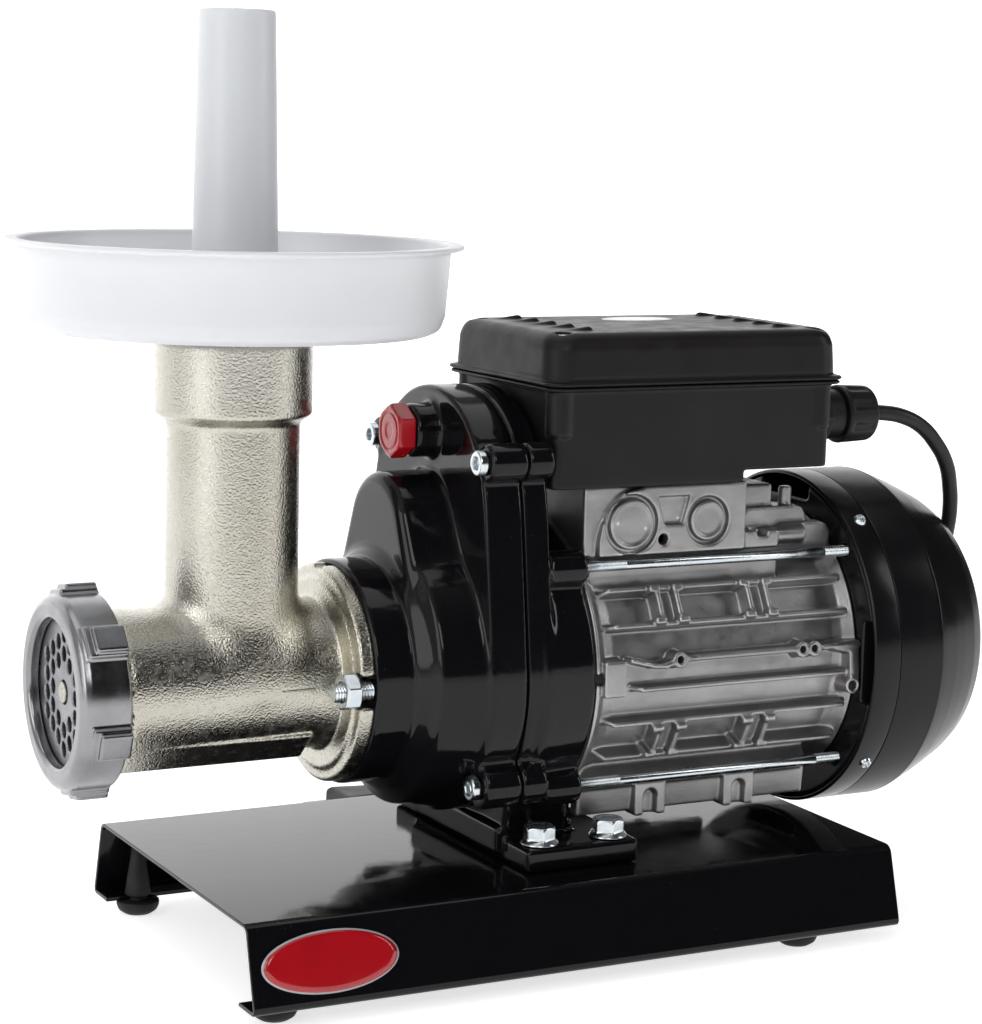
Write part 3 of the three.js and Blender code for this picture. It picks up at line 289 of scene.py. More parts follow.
def milky_plastic():
    paint = Paint("milky_plastic", (0.70, 0.71, 0.73), 0.36, subsurface_weight=0.6,
                  subsurface_scale=0.004)
    paint.shader.inputs["Subsurface Radius"].default_value = (1.0, 0.95, 0.9)
    paint.worn(paint.noise(60, 4), 0.28, 0.44)
    paint.tint(paint.spread(paint.noise(9, 3), 0.4, 0.7), (0.665, 0.68, 0.705))
    paint.bumps((paint.noise(1400, 2), 0.0001, 0.12), (paint.noise(25, 2), 0.0008, 0.06))


def plain_prints():
    """Blank label stock, the badge's red and its border, each slightly uneven."""
    for name, color, rough in (("label_white", (0.78, 0.78, 0.78), 0.35),
                               ("badge_red", (0.42, 0.006, 0.012), 0.12),
                               ("badge_rim", (0.42, 0.42, 0.44), 0.2)):
        paint = Paint(name, color, rough, coat_weight=0.6, coat_roughness=0.05)
        paint.tint(paint.spread(paint.noise(60, 4), 0.4, 0.7), tuple(0.88 * c for c in color))
        paint.worn(paint.noise(120, 3), rough * 0.8, rough * 1.3)
        paint.bumps((paint.noise(300, 2), 0.0001, 0.1))


def inner_plain():
    """Pieces inside the casings: windings and the capacitor's can."""
    for name, color, rough, metal in (("winding", (0.42, 0.17, 0.07), 0.4, 1.0),
                                      ("grey_can", (0.52, 0.52, 0.5), 0.5, 0.0)):
        paint = Paint(name, color, rough, metallic=metal)
        paint.tint(paint.spread(paint.noise(80, 4), 0.4, 0.7), tuple(0.8 * c for c in color))
        paint.bumps((paint.noise(700, 3), 0.0003, 0.3))


for make in (gloss_enamel, satin_enamel, moulded_black, black_rubber, cord_sheath, tinned_iron,
             machined_alloy, ground_steel, oiled_steel, zinc_plate, die_cast, red_plastic,
             milky_plastic, plain_prints, inner_plain):
    make()

# The record's slot of each material, and each slot's material, for CAD nodes.
SLOT_OF = {
    "gloss_enamel": "gloss_black", "satin_enamel": "cover_black", "moulded_black": "box_plastic",
    "black_rubber": "rubber_black", "cord_sheath": "cord_black", "tinned_iron": "tinned_iron",
    "machined_alloy": "nut_metal", "ground_steel": "plate_steel", "oiled_steel": "gear_steel",
    "zinc_plate": "zinc", "die_cast": "die_cast", "winding": "winding", "red_plastic": "plug_red",
    "milky_plastic": "milky", "grey_can": "grey_can",
}
MATERIAL_OF = {slot: name for name, slot in SLOT_OF.items()}


def dress_cad_nodes():
    for row in frame["record"]["subparts"]:
        node = frame["nodes"][row["node"]]
        node.data.materials.clear()
        node.data.materials.append(materials[MATERIAL_OF[row["material_slot"]]])


dress_cad_nodes()


# ---- pieces from plain meshes ---------------------------------------------------------------------
def new_piece(name, points, faces, material, body="frame", stands_for=(), sharp=None):
    """A closed mesh piece from drawing points, faces out, creased over edges sharper than sharp."""
    if signed_volume(np.array(points), faces) < 0:
        faces = [tuple(reversed(face)) for face in faces]
    mesh = bpy.data.meshes.new(name)
    mesh.from_pydata([tuple(p) for p in place(points)], [], faces)
    mesh.validate()
    mesh.shade_smooth()
    if sharp is not None:
        mesh.set_sharp_from_angle(angle=math.radians(sharp))
    return finish_piece(name, mesh, material, body, stands_for)


def finish_piece(name, mesh, material, body, stands_for):
    mesh.materials.append(materials[material])
    piece = bpy.data.objects.new(name, mesh)
    bpy.context.scene.collection.objects.link(piece)
    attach(piece, body)
    if stands_for:
        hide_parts(*stands_for)
    return piece


def signed_volume(points, faces):
    total = 0.0
    for face in faces:
        first = points[face[0]]
        for second, third in zip(face[1:], face[2:]):
            total += float(np.dot(first, np.cross(points[second], points[third])))
    return total


def between_rings(a, b, count):
    """Faces between two rings of count points that start at points a and b."""
    return [(a + k, a + (k + 1) % count, b + (k + 1) % count, b + k) for k in range(count)]


def curved_corner(before, here, after, reach, steps):
    """Points of a curve that takes a corner's place, from reach before it to reach after it."""
    start = here + (before - here) / np.linalg.norm(before - here) * reach
    end = here + (after - here) / np.linalg.norm(after - here) * reach
    shares = [k / steps for k in range(steps + 1)]
    return [(1 - t) ** 2 * start + 2 * t * (1 - t) * here + t * t * end for t in shares]


def rounded(profile, radius):
    """The profile with each corner that isn't on the axis replaced by a short curve."""
    result = []
    count = len(profile)
    for i, point in enumerate(profile):
        here = np.array(point, float)
        before = np.array(profile[i - 1], float)
        after = np.array(profile[(i + 1) % count], float)
        if abs(here[1]) < 1e-6:
            result.append(here)
            continue
        shortest = min(np.linalg.norm(before - here), np.linalg.norm(after - here))
        result += curved_corner(before, here, after, min(radius, shortest * 0.45), steps=3)
    return result


def other_axes(axis):
    return [k for k in (X, Y, Z) if k != axis]


def lathe(profile, axis, u, v, segments):
    """Points and faces of a turned body. The profile is [(place on the axis, radius)], and closes on
    itself or starts and ends on the axis. u and v are the other two coordinates, in order."""
    points, faces, rings = [], [], []
    others = other_axes(axis)
    for along, radius in profile:
        count = 1 if radius < 1e-6 else segments
        rings.append((len(points), count))
        for k in range(count):
            angle = 2 * math.pi * k / segments
            point = [0.0, 0.0, 0.0]
            point[axis] = along
            point[others[0]] = u + radius * math.cos(angle)
            point[others[1]] = v + radius * math.sin(angle)
            points.append(point)
    closed = profile[0][1] > 1e-6
    pairs = list(zip(rings, rings[1:] + ([rings[0]] if closed else [])))
    for (a, count_a), (b, count_b) in pairs:
        if count_a > 1 and count_b > 1:
            faces += between_rings(a, b, segments)
        elif count_b > 1:
            faces += [(a, b + (k + 1) % segments, b + k) for k in range(segments)]
        elif count_a > 1:
            faces += [(a + k, a + (k + 1) % segments, b) for k in range(segments)]
    return points, faces


def turned_piece(name, profile, axis, u, v, material, segments, body="frame", stands_for=(), radius=0.6):
    points, faces = lathe(rounded(profile, radius), axis, u, v, segments)
    return new_piece(name, points, faces, material, body, stands_for)


def threaded_rod(name, x0, x1, radius, pitch, zones, y, z, material, stands_for, sides):
    """Rod along X whose zones [(from, to)] carry a real helical thread."""
    depth = 0.55 * pitch
    places = [x0, x0, x0 + 0.5]
    for low, high in zones:
        places += list(np.arange(low, high, pitch / 6))
        places += [high]
    places += [x1 - 0.5, x1, x1]
    places = sorted(places)
    points, faces = [], []
    for i, x in enumerate(places):
        end = i in (0, len(places) - 1)
        for k in range(sides):
            angle = 2 * math.pi * k / sides
            r = radius - (0.6 if i in (1, len(places) - 2) else 0.0)
            inside = any(low <= x <= high for low, high in zones)
            if inside and not end:
                phase = (x / pitch - k / sides) % 1.0
                r -= depth * abs(2 * phase - 1)
            r = 0.0 if end else r
            points.append((x, y + r * math.cos(angle), z + r * math.sin(angle)))
    for i in range(len(places) - 1):
        faces += between_rings(i * sides, (i + 1) * sides, sides)
    return new_piece(name, points, faces, material, "frame", stands_for, sharp=50)


# ---- pieces from distance fields ------------------------------------------------------------------
# A shape is its distance function over an array of points, and the corners of the box it fills.
Shape = namedtuple("Shape", "distance low high")
FAR = 1e4
MARGIN = 12.0
BRICK = 8


def soft_min(a, b, blend):
    if blend <= 0:
        return np.minimum(a, b)
    h = np.clip(0.5 + 0.5 * (b - a) / blend, 0, 1)
    return b * (1 - h) + a * h - blend * h * (1 - h)


def capped(across, along, edge):
    """Distance from the distances across and along a body with flat ends."""
    inside = np.minimum(np.maximum(across, along), 0)
    return inside + np.hypot(np.maximum(across, 0), np.maximum(along, 0)) - edge


def beyond_ends(p, axis, a0, a1):
    """How far points lie outside the stretch a0 to a1 of an axis."""
    return np.abs(p[:, axis] - (a0 + a1) / 2) - (a1 - a0) / 2


def filled_box(axis, a0, a1, least, most):
    """Corners of the box from a0 to a1 along an axis and from least to most in the other two."""
    low, high = np.empty(3), np.empty(3)
    low[axis], high[axis] = a0, a1
    low[other_axes(axis)], high[other_axes(axis)] = least, most
    return low, high


def slab(x0, x1, y0, y1, z0, z1, edge=0.0):
    low, high = np.array([x0, y0, z0], float), np.array([x1, y1, z1], float)
    middle, half = (low + high) / 2, (high - low) / 2 - edge

    def distance(p):
        q = np.abs(p - middle) - half
        return np.linalg.norm(np.maximum(q, 0), axis=1) + np.minimum(q.max(axis=1), 0) - edge
    return Shape(distance, low, high)


def rod(axis, a0, a1, radius, u=0.0, v=AXIS_Z, edge=0.0, radius_end=None):
    """Cylinder or cone along an axis; u and v are the other two coordinates, in order."""
    others = other_axes(axis)
    last = radius if radius_end is None else radius_end
    slope = (last - radius) / (a1 - a0)
    lean = 1 / math.hypot(1, slope)

    def distance(p):
        wide = np.hypot(p[:, others[0]] - u, p[:, others[1]] - v)
        limit = radius + slope * (p[:, axis] - a0)
        return capped((wide - limit) * lean + edge, beyond_ends(p, axis, a0, a1) + edge, edge)
    middle, widest = np.array([u, v]), max(radius, last)
    return Shape(distance, *filled_box(axis, a0, a1, middle - widest, middle + widest))


def polygon_distance(corners, u, v):
    """Signed distance in a plane to a closed polygon."""
    best = np.full(u.shape, FAR)
    inside = np.zeros(u.shape, bool)
    for (u0, v0), (u1, v1) in zip(corners, np.roll(corners, -1, axis=0)):
        du, dv = u1 - u0, v1 - v0
        t = np.clip(((u - u0) * du + (v - v0) * dv) / max(du * du + dv * dv, 1e-9), 0, 1)
        best = np.minimum(best, (u - u0 - t * du) ** 2 + (v - v0 - t * dv) ** 2)
        if v0 != v1:
            inside ^= ((v0 > v) != (v1 > v)) & (u < u0 + (v - v0) * du / dv)
    return np.where(inside, -1.0, 1.0) * np.sqrt(best)


def prism(axis, outline, a0, a1, edge=0.0):
    """Outline in the other two coordinates, in order, run along an axis."""
    others = other_axes(axis)
    corners = np.asarray(outline, float)

    def distance(p):
        across = polygon_distance(corners, p[:, others[0]], p[:, others[1]]) + edge
        return capped(across, beyond_ends(p, axis, a0, a1) + edge, edge)
    return Shape(distance, *filled_box(axis, a0, a1, corners.min(axis=0), corners.max(axis=0)))


def turned(axis, profile, u=0.0, v=AXIS_Z, edge=0.0):
    """Body of revolution from a closed profile of (place on the axis, radius)."""
    others = other_axes(axis)
    corners = np.asarray(profile, float)

    def distance(p):
        wide = np.hypot(p[:, others[0]] - u, p[:, others[1]] - v)
        return polygon_distance(corners, p[:, axis], wide) - edge
    a0, a1 = corners[:, 0].min() - edge, corners[:, 0].max() + edge
    middle, widest = np.array([u, v]), corners[:, 1].max() + edge
    return Shape(distance, *filled_box(axis, a0, a1, middle - widest, middle + widest))


def rail(start, end, radius):
    """Round bar between two points."""
    a, b = np.array(start, float), np.array(end, float)

    def distance(p):
        t = np.clip((p - a) @ (b - a) / np.dot(b - a, b - a), 0, 1)
        return np.linalg.norm(p - a - t[:, None] * (b - a), axis=1) - radius
    return Shape(distance, np.minimum(a, b) - radius, np.maximum(a, b) + radius)


def hexagon(across_flats, u, v, turn=0.0):
    corner = across_flats / math.sqrt(3)
    return [(u + corner * math.cos(turn + k * math.pi / 3), v + corner * math.sin(turn + k * math.pi / 3))
            for k in range(6)]


def about_axis(shape, degrees):
    """The shape turned about the motor's axis, counted from +Y towards +Z."""
    angle = math.radians(degrees)
    c, s = math.cos(angle), math.sin(angle)
    turn = np.array([[1, 0, 0], [0, c, -s], [0, s, c]])
    hub = np.array([0, 0, AXIS_Z])
    corners = np.array(list(product(*zip(shape.low, shape.high))))
    moved = (corners - hub) @ turn.T + hub
    return Shape(lambda p: shape.distance((p - hub) @ turn + hub), moved.min(axis=0), moved.max(axis=0))


def mirrored(shape):
    """The shape reflected in the plane Y = 0."""
    flip = np.array([1, -1, 1])
    ends = np.array([shape.low * flip, shape.high * flip])
    return Shape(lambda p: shape.distance(p * flip), ends.min(axis=0), ends.max(axis=0))


class Solid:
    """Shapes joined and cut in order, each with its own rounding where it meets what is there."""

    def __init__(self, first):
        self.steps = [("join", first, 0.0)]

    def join(self, *shapes, blend=1.5):
        self.steps += [("join", shape, blend) for shape in shapes]
        return self

    def cut(self, *shapes, blend=0.8):
        self.steps += [("cut", shape, blend) for shape in shapes]
        return self

    def keep(self, shape, blend):
        self.steps.append(("keep", shape, blend))
        return self

    def distance(self, p):
        d = np.full(len(p), FAR)
        for mode, shape, blend in self.steps:
            reach = MARGIN + blend
            if mode == "keep":
                near = slice(None)
            else:
                near = np.flatnonzero(((p > shape.low - reach) & (p < shape.high + reach)).all(axis=1))
            e = shape.distance(p[near])
            if mode == "join":
                d[near] = soft_min(d[near], e, blend)
            elif mode == "cut":
                d[near] = -soft_min(-d[near], e, blend)
            else:
                d[near] = -soft_min(-d[near], -e, blend)
        return d

    def box(self):
        joined = [shape for mode, shape, _ in self.steps if mode == "join"]
        return (np.min([shape.low for shape in joined], axis=0),
                np.max([shape.high for shape in joined], axis=0))

    def shape(self):
        return Shape(self.distance, *self.box())


def sample(solid, low, step, counts):
    """Distances on a grid, worked out finely only near the surface."""
    cells = np.indices(counts).reshape(3, -1).T
    centres = low + (cells * BRICK + (BRICK - 1) / 2) * step
    rough = solid.distance(centres)
    volume = rough.reshape(counts).astype(np.float32)
    for axis in (0, 1, 2):
        volume = np.repeat(volume, BRICK, axis=axis)
    near = cells[np.abs(rough) < step * BRICK + 2.0]
    inside = np.indices((BRICK,) * 3).reshape(3, -1).T
    fine = volume.reshape(counts[0], BRICK, counts[1], BRICK, counts[2], BRICK)
    fine = fine.transpose(0, 2, 4, 1, 3, 5)
    for start in range(0, len(near), 400):
        some = near[start:start + 400]
        points = low + (some[:, None, :] * BRICK + inside[None]).reshape(-1, 3) * step
        values = solid.distance(points).astype(np.float32)
        fine[some[:, 0], some[:, 1], some[:, 2]] = values.reshape(-1, BRICK, BRICK, BRICK)
    return volume


def softened(volume, passes):
    """Rounds every edge a little by averaging along each axis."""
    for _ in range(passes):
        for axis in (0, 1, 2):
            v = np.moveaxis(volume, axis, 0)
            v[1:-1] = (v[:-2] + 2 * v[1:-1] + v[2:]) / 4
    return volume


def slopes(volume, points):
    """Unit gradients of the grid at points given in cells."""
    def at(q):
        base = np.clip(np.floor(q).astype(int), 0, np.array(volume.shape) - 2)
        f = q - base
        value = 0.0
        for i in (0, 1):
            for j in (0, 1):
                for k in (0, 1):
                    weight = (np.abs(1 - i - f[:, 0]) * np.abs(1 - j - f[:, 1]) * np.abs(1 - k - f[:, 2]))
                    value = value + weight * volume[base[:, 0] + i, base[:, 1] + j, base[:, 2] + k]
        return value
    gradient = np.empty_like(points)
    for axis in (0, 1, 2):
        shift = np.zeros(3)
        shift[axis] = 0.6
        gradient[:, axis] = at(points + shift) - at(points - shift)
    return gradient / np.maximum(np.linalg.norm(gradient, axis=1), 1e-9)[:, None]


def field_piece(name, solid, step, material, body="frame", stands_for=(), soften=1):
    """Meshes a solid and makes it a piece. step is the grid's pitch in millimetres."""
    low, high = solid.box()
    low = low - 3 * step
    counts = np.ceil((high + 3 * step - low) / (step * BRICK)).astype(int)
    volume = softened(sample(solid, low, step, counts), soften)
    grid = openvdb.FloatGrid(FAR)
    grid.copyFromArray(volume)
    points, triangles, quads = grid.convertToPolygons(isovalue=0.0, adaptivity=0.0)
    normals = slopes(volume, points.astype(float))
    mesh = bpy.data.meshes.new(name)
    mesh.vertices.add(len(points))
    mesh.vertices.foreach_set("co", place(low + points * step).astype(np.float32).ravel())
    corners = np.concatenate([triangles.ravel(), quads.ravel()]).astype(np.int32)
    starts = np.concatenate([np.arange(len(triangles)) * 3,
                             len(triangles) * 3 + np.arange(len(quads)) * 4]).astype(np.int32)
    mesh.loops.add(len(corners))
    mesh.loops.foreach_set("vertex_index", corners)
    mesh.polygons.add(len(starts))
    mesh.polygons.foreach_set("loop_start", starts)
    mesh.update(calc_edges=True)
    mesh.shade_smooth()
    mesh.normals_split_custom_set_from_vertices(normals)
    return finish_piece(name, mesh, material, body, stands_for)


# ---- supply cord ----------------------------------------------------------------------------------
CORD_D = 8.5
COIL_CENTRE = (215.0, 174.0)
COIL_R = 47.0
GLAND_Y, GLAND_Z = -36.0, 225.0
GLAND_X = (275.0, 290.0, 310.0)
PLUG_X, PLUG_Y, PLUG_Z = 184.2, 225.25, -41.0
CORD_ROUTE = [
    (310.3, -36, 225), (322, -36, 224.6), (335, -36, 222.4), (349, -35, 216.4), (361, -33, 206.6),
    (371.5, -30, 194), (377.5, -26.5, 181), (380.5, -24, 167), (381.5, -20, 150),
    (384, -11, 128), (386.5, 3, 103), (388, 20, 77), (387, 40, 50), (382, 62, 23),
    (373, 84, -3), (360, 107, -24), (344, 129.5, -38), (326, 147.5, -45), (309, 162, -45.75),
    (294, 174.7, -45.75), (271.9, 193.2, -45.75),
]


def coil_points():
    """Three turns in two layers, counter-clockwise, from the point where the cord meets the ring."""
    inner, outer = COIL_R - CORD_D / 2, COIL_R + CORD_D / 2
    low, high = FLOOR_Z + CORD_D / 2, FLOOR_Z + 1.5 * CORD_D
    stops = [(50, outer, low), (310, outer, low), (400, inner, low), (580, inner, low),
             (670, inner, high), (870, inner, high), (955, outer, high), (1170, outer, high)]
    turned_by, radii, heights = zip(*stops)
    points = []
    for degrees in np.arange(50, 1171, 20):
        radius = np.interp(degrees, turned_by, radii)
        angle = math.radians(degrees)
        points.append((COIL_CENTRE[0] + radius * math.cos(angle),
                       COIL_CENTRE[1] + radius * math.sin(angle),
                       np.interp(degrees, turned_by, heights)))
    return points


def route_length(points):
    return float(np.linalg.norm(np.diff(np.array(points), axis=0), axis=1).sum())


def make_cord():
    lead = [(205, PLUG_Y, -37.3), (195, PLUG_Y, -38.8), (188, PLUG_Y, -40.6), (PLUG_X, PLUG_Y, PLUG_Z),
            (PLUG_X - 12, PLUG_Y, PLUG_Z)]
    points = CORD_ROUTE + coil_points() + lead
    curve = bpy.data.curves.new("power_cord", "CURVE")
    curve.dimensions = "3D"
    spline = curve.splines.new("BEZIER")
    spline.bezier_points.add(len(points) - 1)
    for knot, point in zip(spline.bezier_points, place(points)):
        knot.co = point
        knot.handle_left_type = "AUTO"
        knot.handle_right_type = "AUTO"
    spline.resolution_u = 8
    curve.bevel_depth = CORD_D / 2000
    curve.bevel_resolution = 6
    curve.materials.append(materials["cord_sheath"])
    cord = bpy.data.objects.new("power_cord", curve)
    bpy.context.scene.collection.objects.link(cord)
    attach(cord, "frame")
    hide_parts("power_cable", "cable_coil")
    return cord, route_length(points) / 1000


def make_plug():
    """Moulded two-pin plug: ribbed sleeve, waist and flat body, pins towards -X."""
    body = Solid(rod(X, PLUG_X - 36, PLUG_X, 6.2, PLUG_Y, PLUG_Z, 0.8, radius_end=5.0))
    outline = [(PLUG_X - 34, PLUG_Y - 6.4), (PLUG_X - 42, PLUG_Y - 13), (PLUG_X - 62, PLUG_Y - 17),
               (PLUG_X - 68, PLUG_Y - 17), (PLUG_X - 68, PLUG_Y + 17), (PLUG_X - 62, PLUG_Y + 17),
               (PLUG_X - 42, PLUG_Y + 13), (PLUG_X - 34, PLUG_Y + 6.4)]
    body.join(prism(Z, outline, PLUG_Z - 9, PLUG_Z + 9, 4), blend=3)
    for x in np.arange(PLUG_X - 29, PLUG_X - 4, 5):
        groove = [(x, 4.6), (x + 2, 4.6), (x + 2, 9), (x, 9)]
        body.cut(turned(X, groove, PLUG_Y, PLUG_Z), blend=0.8)
    plug = field_piece("plug_body", body, 0.7, "moulded_black", stands_for=["plug"])
    for side, name in ((-9.5, "plug_pin_left"), (9.5, "plug_pin_right")):
        profile = [(PLUG_X - 86, 0), (PLUG_X - 86, 2.4), (PLUG_X - 67, 2.4), (PLUG_X - 67, 0)]
        turned_piece(name, profile, X, PLUG_Y + side, PLUG_Z, "oiled_steel", segments=32)
    return plug


power_cord, cord_length = make_cord()
plug_body = make_plug()


# ---- base and feet --------------------------------------------------------------------------------
BASE_X0, BASE_X1 = -79.2, 292.7
BASE_HALF = 102.5
BASE_DEPTH = 42.0
BASE_FLARE = 10.8
BASE_LIP = 19.0
SHEET = 2.0
FOOT_X = {"front": -61.0, "rear": 239.0}
FOOT_Y = 94.0


def make_base():
    """Sheet folded along its middle line, then given its thickness and softened cut edges."""
    foot = BASE_HALF + BASE_FLARE - SHEET / 2
    top = BASE_HALF - 0.4 - SHEET / 2
    half = [(foot - BASE_LIP, -BASE_DEPTH + SHEET / 2), (foot, -BASE_DEPTH + SHEET / 2), (top, -SHEET / 2)]
    corners = np.array([(-y, z) for y, z in half] + list(reversed(half)))
    path = [corners[0]]
    for before, here, after in zip(corners, corners[1:], corners[2:]):
        path += curved_corner(before, here, after, 3.6, steps=6)
    path = np.array(path + [corners[-1]])
    along = np.gradient(path, axis=0)
    along /= np.linalg.norm(along, axis=1)[:, None]
    across = np.column_stack([-along[:, 1], along[:, 0]]) * SHEET / 2
    points, faces = [], []
    count = 2 * len(path)
    ends = [(BASE_X0, 0.6), (BASE_X0 + 0.4, 1.0), (BASE_X1 - 0.4, 1.0), (BASE_X1, 0.6)]
    for x, share in ends:
        outline = np.concatenate([path + across * share, (path - across * share)[::-1]])
        points += [(x, y, z) for y, z in outline]
    for ring in range(len(ends) - 1):
        faces += between_rings(ring * count, (ring + 1) * count, count)
    last = (len(ends) - 1) * count
    for k in range(len(path) - 1):
        faces.append((k + 1, k, count - 1 - k, count - 2 - k))
        faces.append((last + k, last + k + 1, last + count - 2 - k, last + count - 1 - k))
    new_piece("base_sheet", points, faces, "gloss_enamel", stands_for=["base_plate"], sharp=30)


def make_feet():
    profile = [(FLOOR_Z, 0), (FLOOR_Z, 7), (FLOOR_Z + 2.2, 10.3), (FLOOR_Z + 5, 11.5),
               (-BASE_DEPTH - 0.3, 11.5), (-BASE_DEPTH - 0.3, 4.8), (-BASE_DEPTH + 2.3, 4.8),
               (-BASE_DEPTH + 2.3, 7.2), (-13, 3.2), (-12, 0)]
    for end, x in FOOT_X.items():
        for side, sign in SIDES.items():
            turned_piece(f"rubber_foot_{end}_{side}", profile, Z, x, sign * FOOT_Y, "black_rubber",
                         stands_for=[f"foot_{end}_{side}"], segments=48, radius=1.0)


def dome(name, centre, u, v, lift, radii, height, material):
    """Slightly domed oval plate standing on a surface, with its flat back on it."""
    rings, segments = 10, 96
    centre, u, v, lift = (np.array(a, float) for a in (centre, u, v, lift))
    points = [centre]
    for k in range(segments):
        angle = 2 * math.pi * k / segments
        points.append(centre + u * radii[0] * math.cos(angle) + v * radii[1] * math.sin(angle))
    for ring in range(rings, -1, -1):
        t = ring / rings
        rise = height * (0.55 + 0.45 * (1 - t * t)) - (0.3 * height if ring == rings else 0)
        for k in range(segments if ring else 1):
            angle = 2 * math.pi * k / segments
            points.append(centre + lift * rise + u * radii[0] * t * math.cos(angle)
                          + v * radii[1] * t * math.sin(angle))
    last = 1 + rings * segments
    faces = []
    for k in range(segments):
        n = (k + 1) % segments
        faces += [(0, 1 + n, 1 + k), (last + k, last + n, len(points) - 1)]
    for ring in range(rings):
        faces += between_rings(1 + ring * segments, 1 + (ring + 1) * segments, segments)
    return new_piece(name, points, faces, material)


def make_badge():
    """Plain oval badge on the near wall of the base, with a light rim and no lettering."""
    lean = np.array([0, -BASE_FLARE + 0.4, -BASE_DEPTH])
    down = lean / np.linalg.norm(lean)
    out = np.array([0, down[2], -down[1]])
    middle = np.array([-38.0, -BASE_HALF - 0.4, -SHEET / 2]) + down * 20.0
    middle = middle + out * 0.35
    dome("badge_rim_plate", middle, (1, 0, 0), down, out, (36.0, 15.2), 0.9, "badge_rim")
    dome("badge_face", middle + out * 0.6, (1, 0, 0), down, out, (35.0, 14.3), 0.9, "badge_red")


make_base()
make_feet()
make_badge()


# ---- gear case ------------------------------------------------------------------------------------
CASE_X0, CASE_FLANGE_X, CASE_SPLIT_X, CASE_REAR_X, SHIELD_X = 8.7, 62.0, 83.0, 98.0, 122.0
CASE_EGG = (77.0, 66.5, 80.0)
GEAR_ROOM_R, LAY_ROOM = 54.8, (57.4, 56, 12)
CASE_SCREW_Y = 62.6
CASE_SCREW_Z = {"top": 210.0, "low": 44.5}
LUG_R = {"top": 9.7, "low": 11.5}
OIL_X, OIL_Y, OIL_Z = 38.0, -2.0, 220.0
STUD_Y, STUD_R = 50.0, 5.0
BOLT_X = {"front": 97.0, "rear": 137.5}
BOLT_Y = 66.5
PEDESTAL_TOP = 12.5
ROD_Y, ROD_Z = 59.0, {"low": AXIS_Z - 57.0, "top": AXIS_Z + 57.0}
ROD_R = 3.0


def egg(x0, x1, first, last=None, edge=0.0, lowest=0.0):
    """Body whose section is two circles and the lines that touch both. first and last are (radius
    on the output axis, radius above, rise) at x0 and x1."""
    last = first if last is None else last
    growth = (last[0] - first[0]) / (x1 - x0)
    lean = 1 / math.hypot(1, growth)

    def distance(p):
        share = np.clip((p[:, X] - x0) / (x1 - x0), 0, 1)
        low, high, rise = (a + share * (b - a) for a, b in zip(first, last))
        y, z = np.abs(p[:, Y]), p[:, Z] - AXIS_Z - lowest
        tilt = (low - high) / rise
        level = np.sqrt(1 - tilt * tilt)
        along = -tilt * y + level * z
        across = np.where(along < 0, np.hypot(y, z) - low,
                          np.where(along > level * rise, np.hypot(y, z - rise) - high,
                                   level * y + tilt * z - low))
        return capped(across * lean + edge, beyond_ends(p, X, x0, x1) + edge, edge)
    wide = max(first[0], last[0], first[1], last[1])
    floor = AXIS_Z + lowest
    top = floor + max(first[2] + first[1], last[2] + last[1])
    return Shape(distance, np.array([x0, -wide, floor - max(first[0], last[0])]),
                 np.array([x1, wide, top]))


def both_sides(*shapes):
    return list(shapes) + [mirrored(shape) for shape in shapes]


def at_tie_rods(x0, x1, radius, edge=0.0):
    return [rod(X, x0, x1, radius, sign * ROD_Y, z, edge)
            for sign in SIDES.values() for z in ROD_Z.values()]


def case_lugs(x0, x1):
    return [rod(X, x0, x1, LUG_R[level], sign * CASE_SCREW_Y, z, 1.8)
            for sign in SIDES.values() for level, z in CASE_SCREW_Z.items()]


def case_screw_holes(x0, x1):
    return [rod(X, x0, x1, 4.3, sign * CASE_SCREW_Y, z)
            for sign in SIDES.values() for z in CASE_SCREW_Z.values()]


def make_case_front():
    shoulder = [(CASE_X0, 0), (CASE_X0, 58), (29, 58), (29.6, 60.6), (35, 66), (38.5, 71.2),
                (CASE_FLANGE_X + 4, 75), (CASE_FLANGE_X + 4, 0)]
    case = Solid(turned(X, [(x, max(r - 1.0, 0)) for x, r in shoulder], 0, AXIS_Z, 1.0))
    rise = LAY_Z - AXIS_Z
    case.join(egg(31.5, CASE_FLANGE_X + 4, (58.5, 32.3, rise), (71, 32.5, rise), 5.5), blend=2.5)
    case.join(rod(X, OIL_X + 10, CASE_FLANGE_X + 4, 14, OIL_Y, OIL_Z, 2.0), blend=5)
    case.join(egg(CASE_FLANGE_X, CASE_SPLIT_X, CASE_EGG, edge=1.6), blend=3)
    case.join(*case_lugs(CASE_FLANGE_X + 0.4, CASE_SPLIT_X), blend=3)
    case.cut(rod(X, 43.6, CASE_SPLIT_X + 1, GEAR_ROOM_R), rod(X, 43.6, 68, 25.6, 0, LAY_Z),
             egg(67.4, CASE_SPLIT_X + 1, LAY_ROOM, lowest=70),
             rod(X, CASE_X0 - 1, 16, 24.4), rod(X, 14, 45, 35.6), rod(X, 38, 45, 16.6, 0, LAY_Z),
             rod(X, OIL_X + 9, 68, 8.2, OIL_Y, OIL_Z), blend=0.4)
    case.cut(*case_screw_holes(CASE_FLANGE_X - 1, CASE_SPLIT_X + 1), blend=0.4)
    case.cut(*[rod(X, CASE_X0 - 1, 26, STUD_R + 0.3, sign * STUD_Y) for sign in SIDES.values()], blend=0.4)
    field_piece("case_front", case, 0.95, "gloss_enamel", stands_for=["gear_case_front"], soften=2)


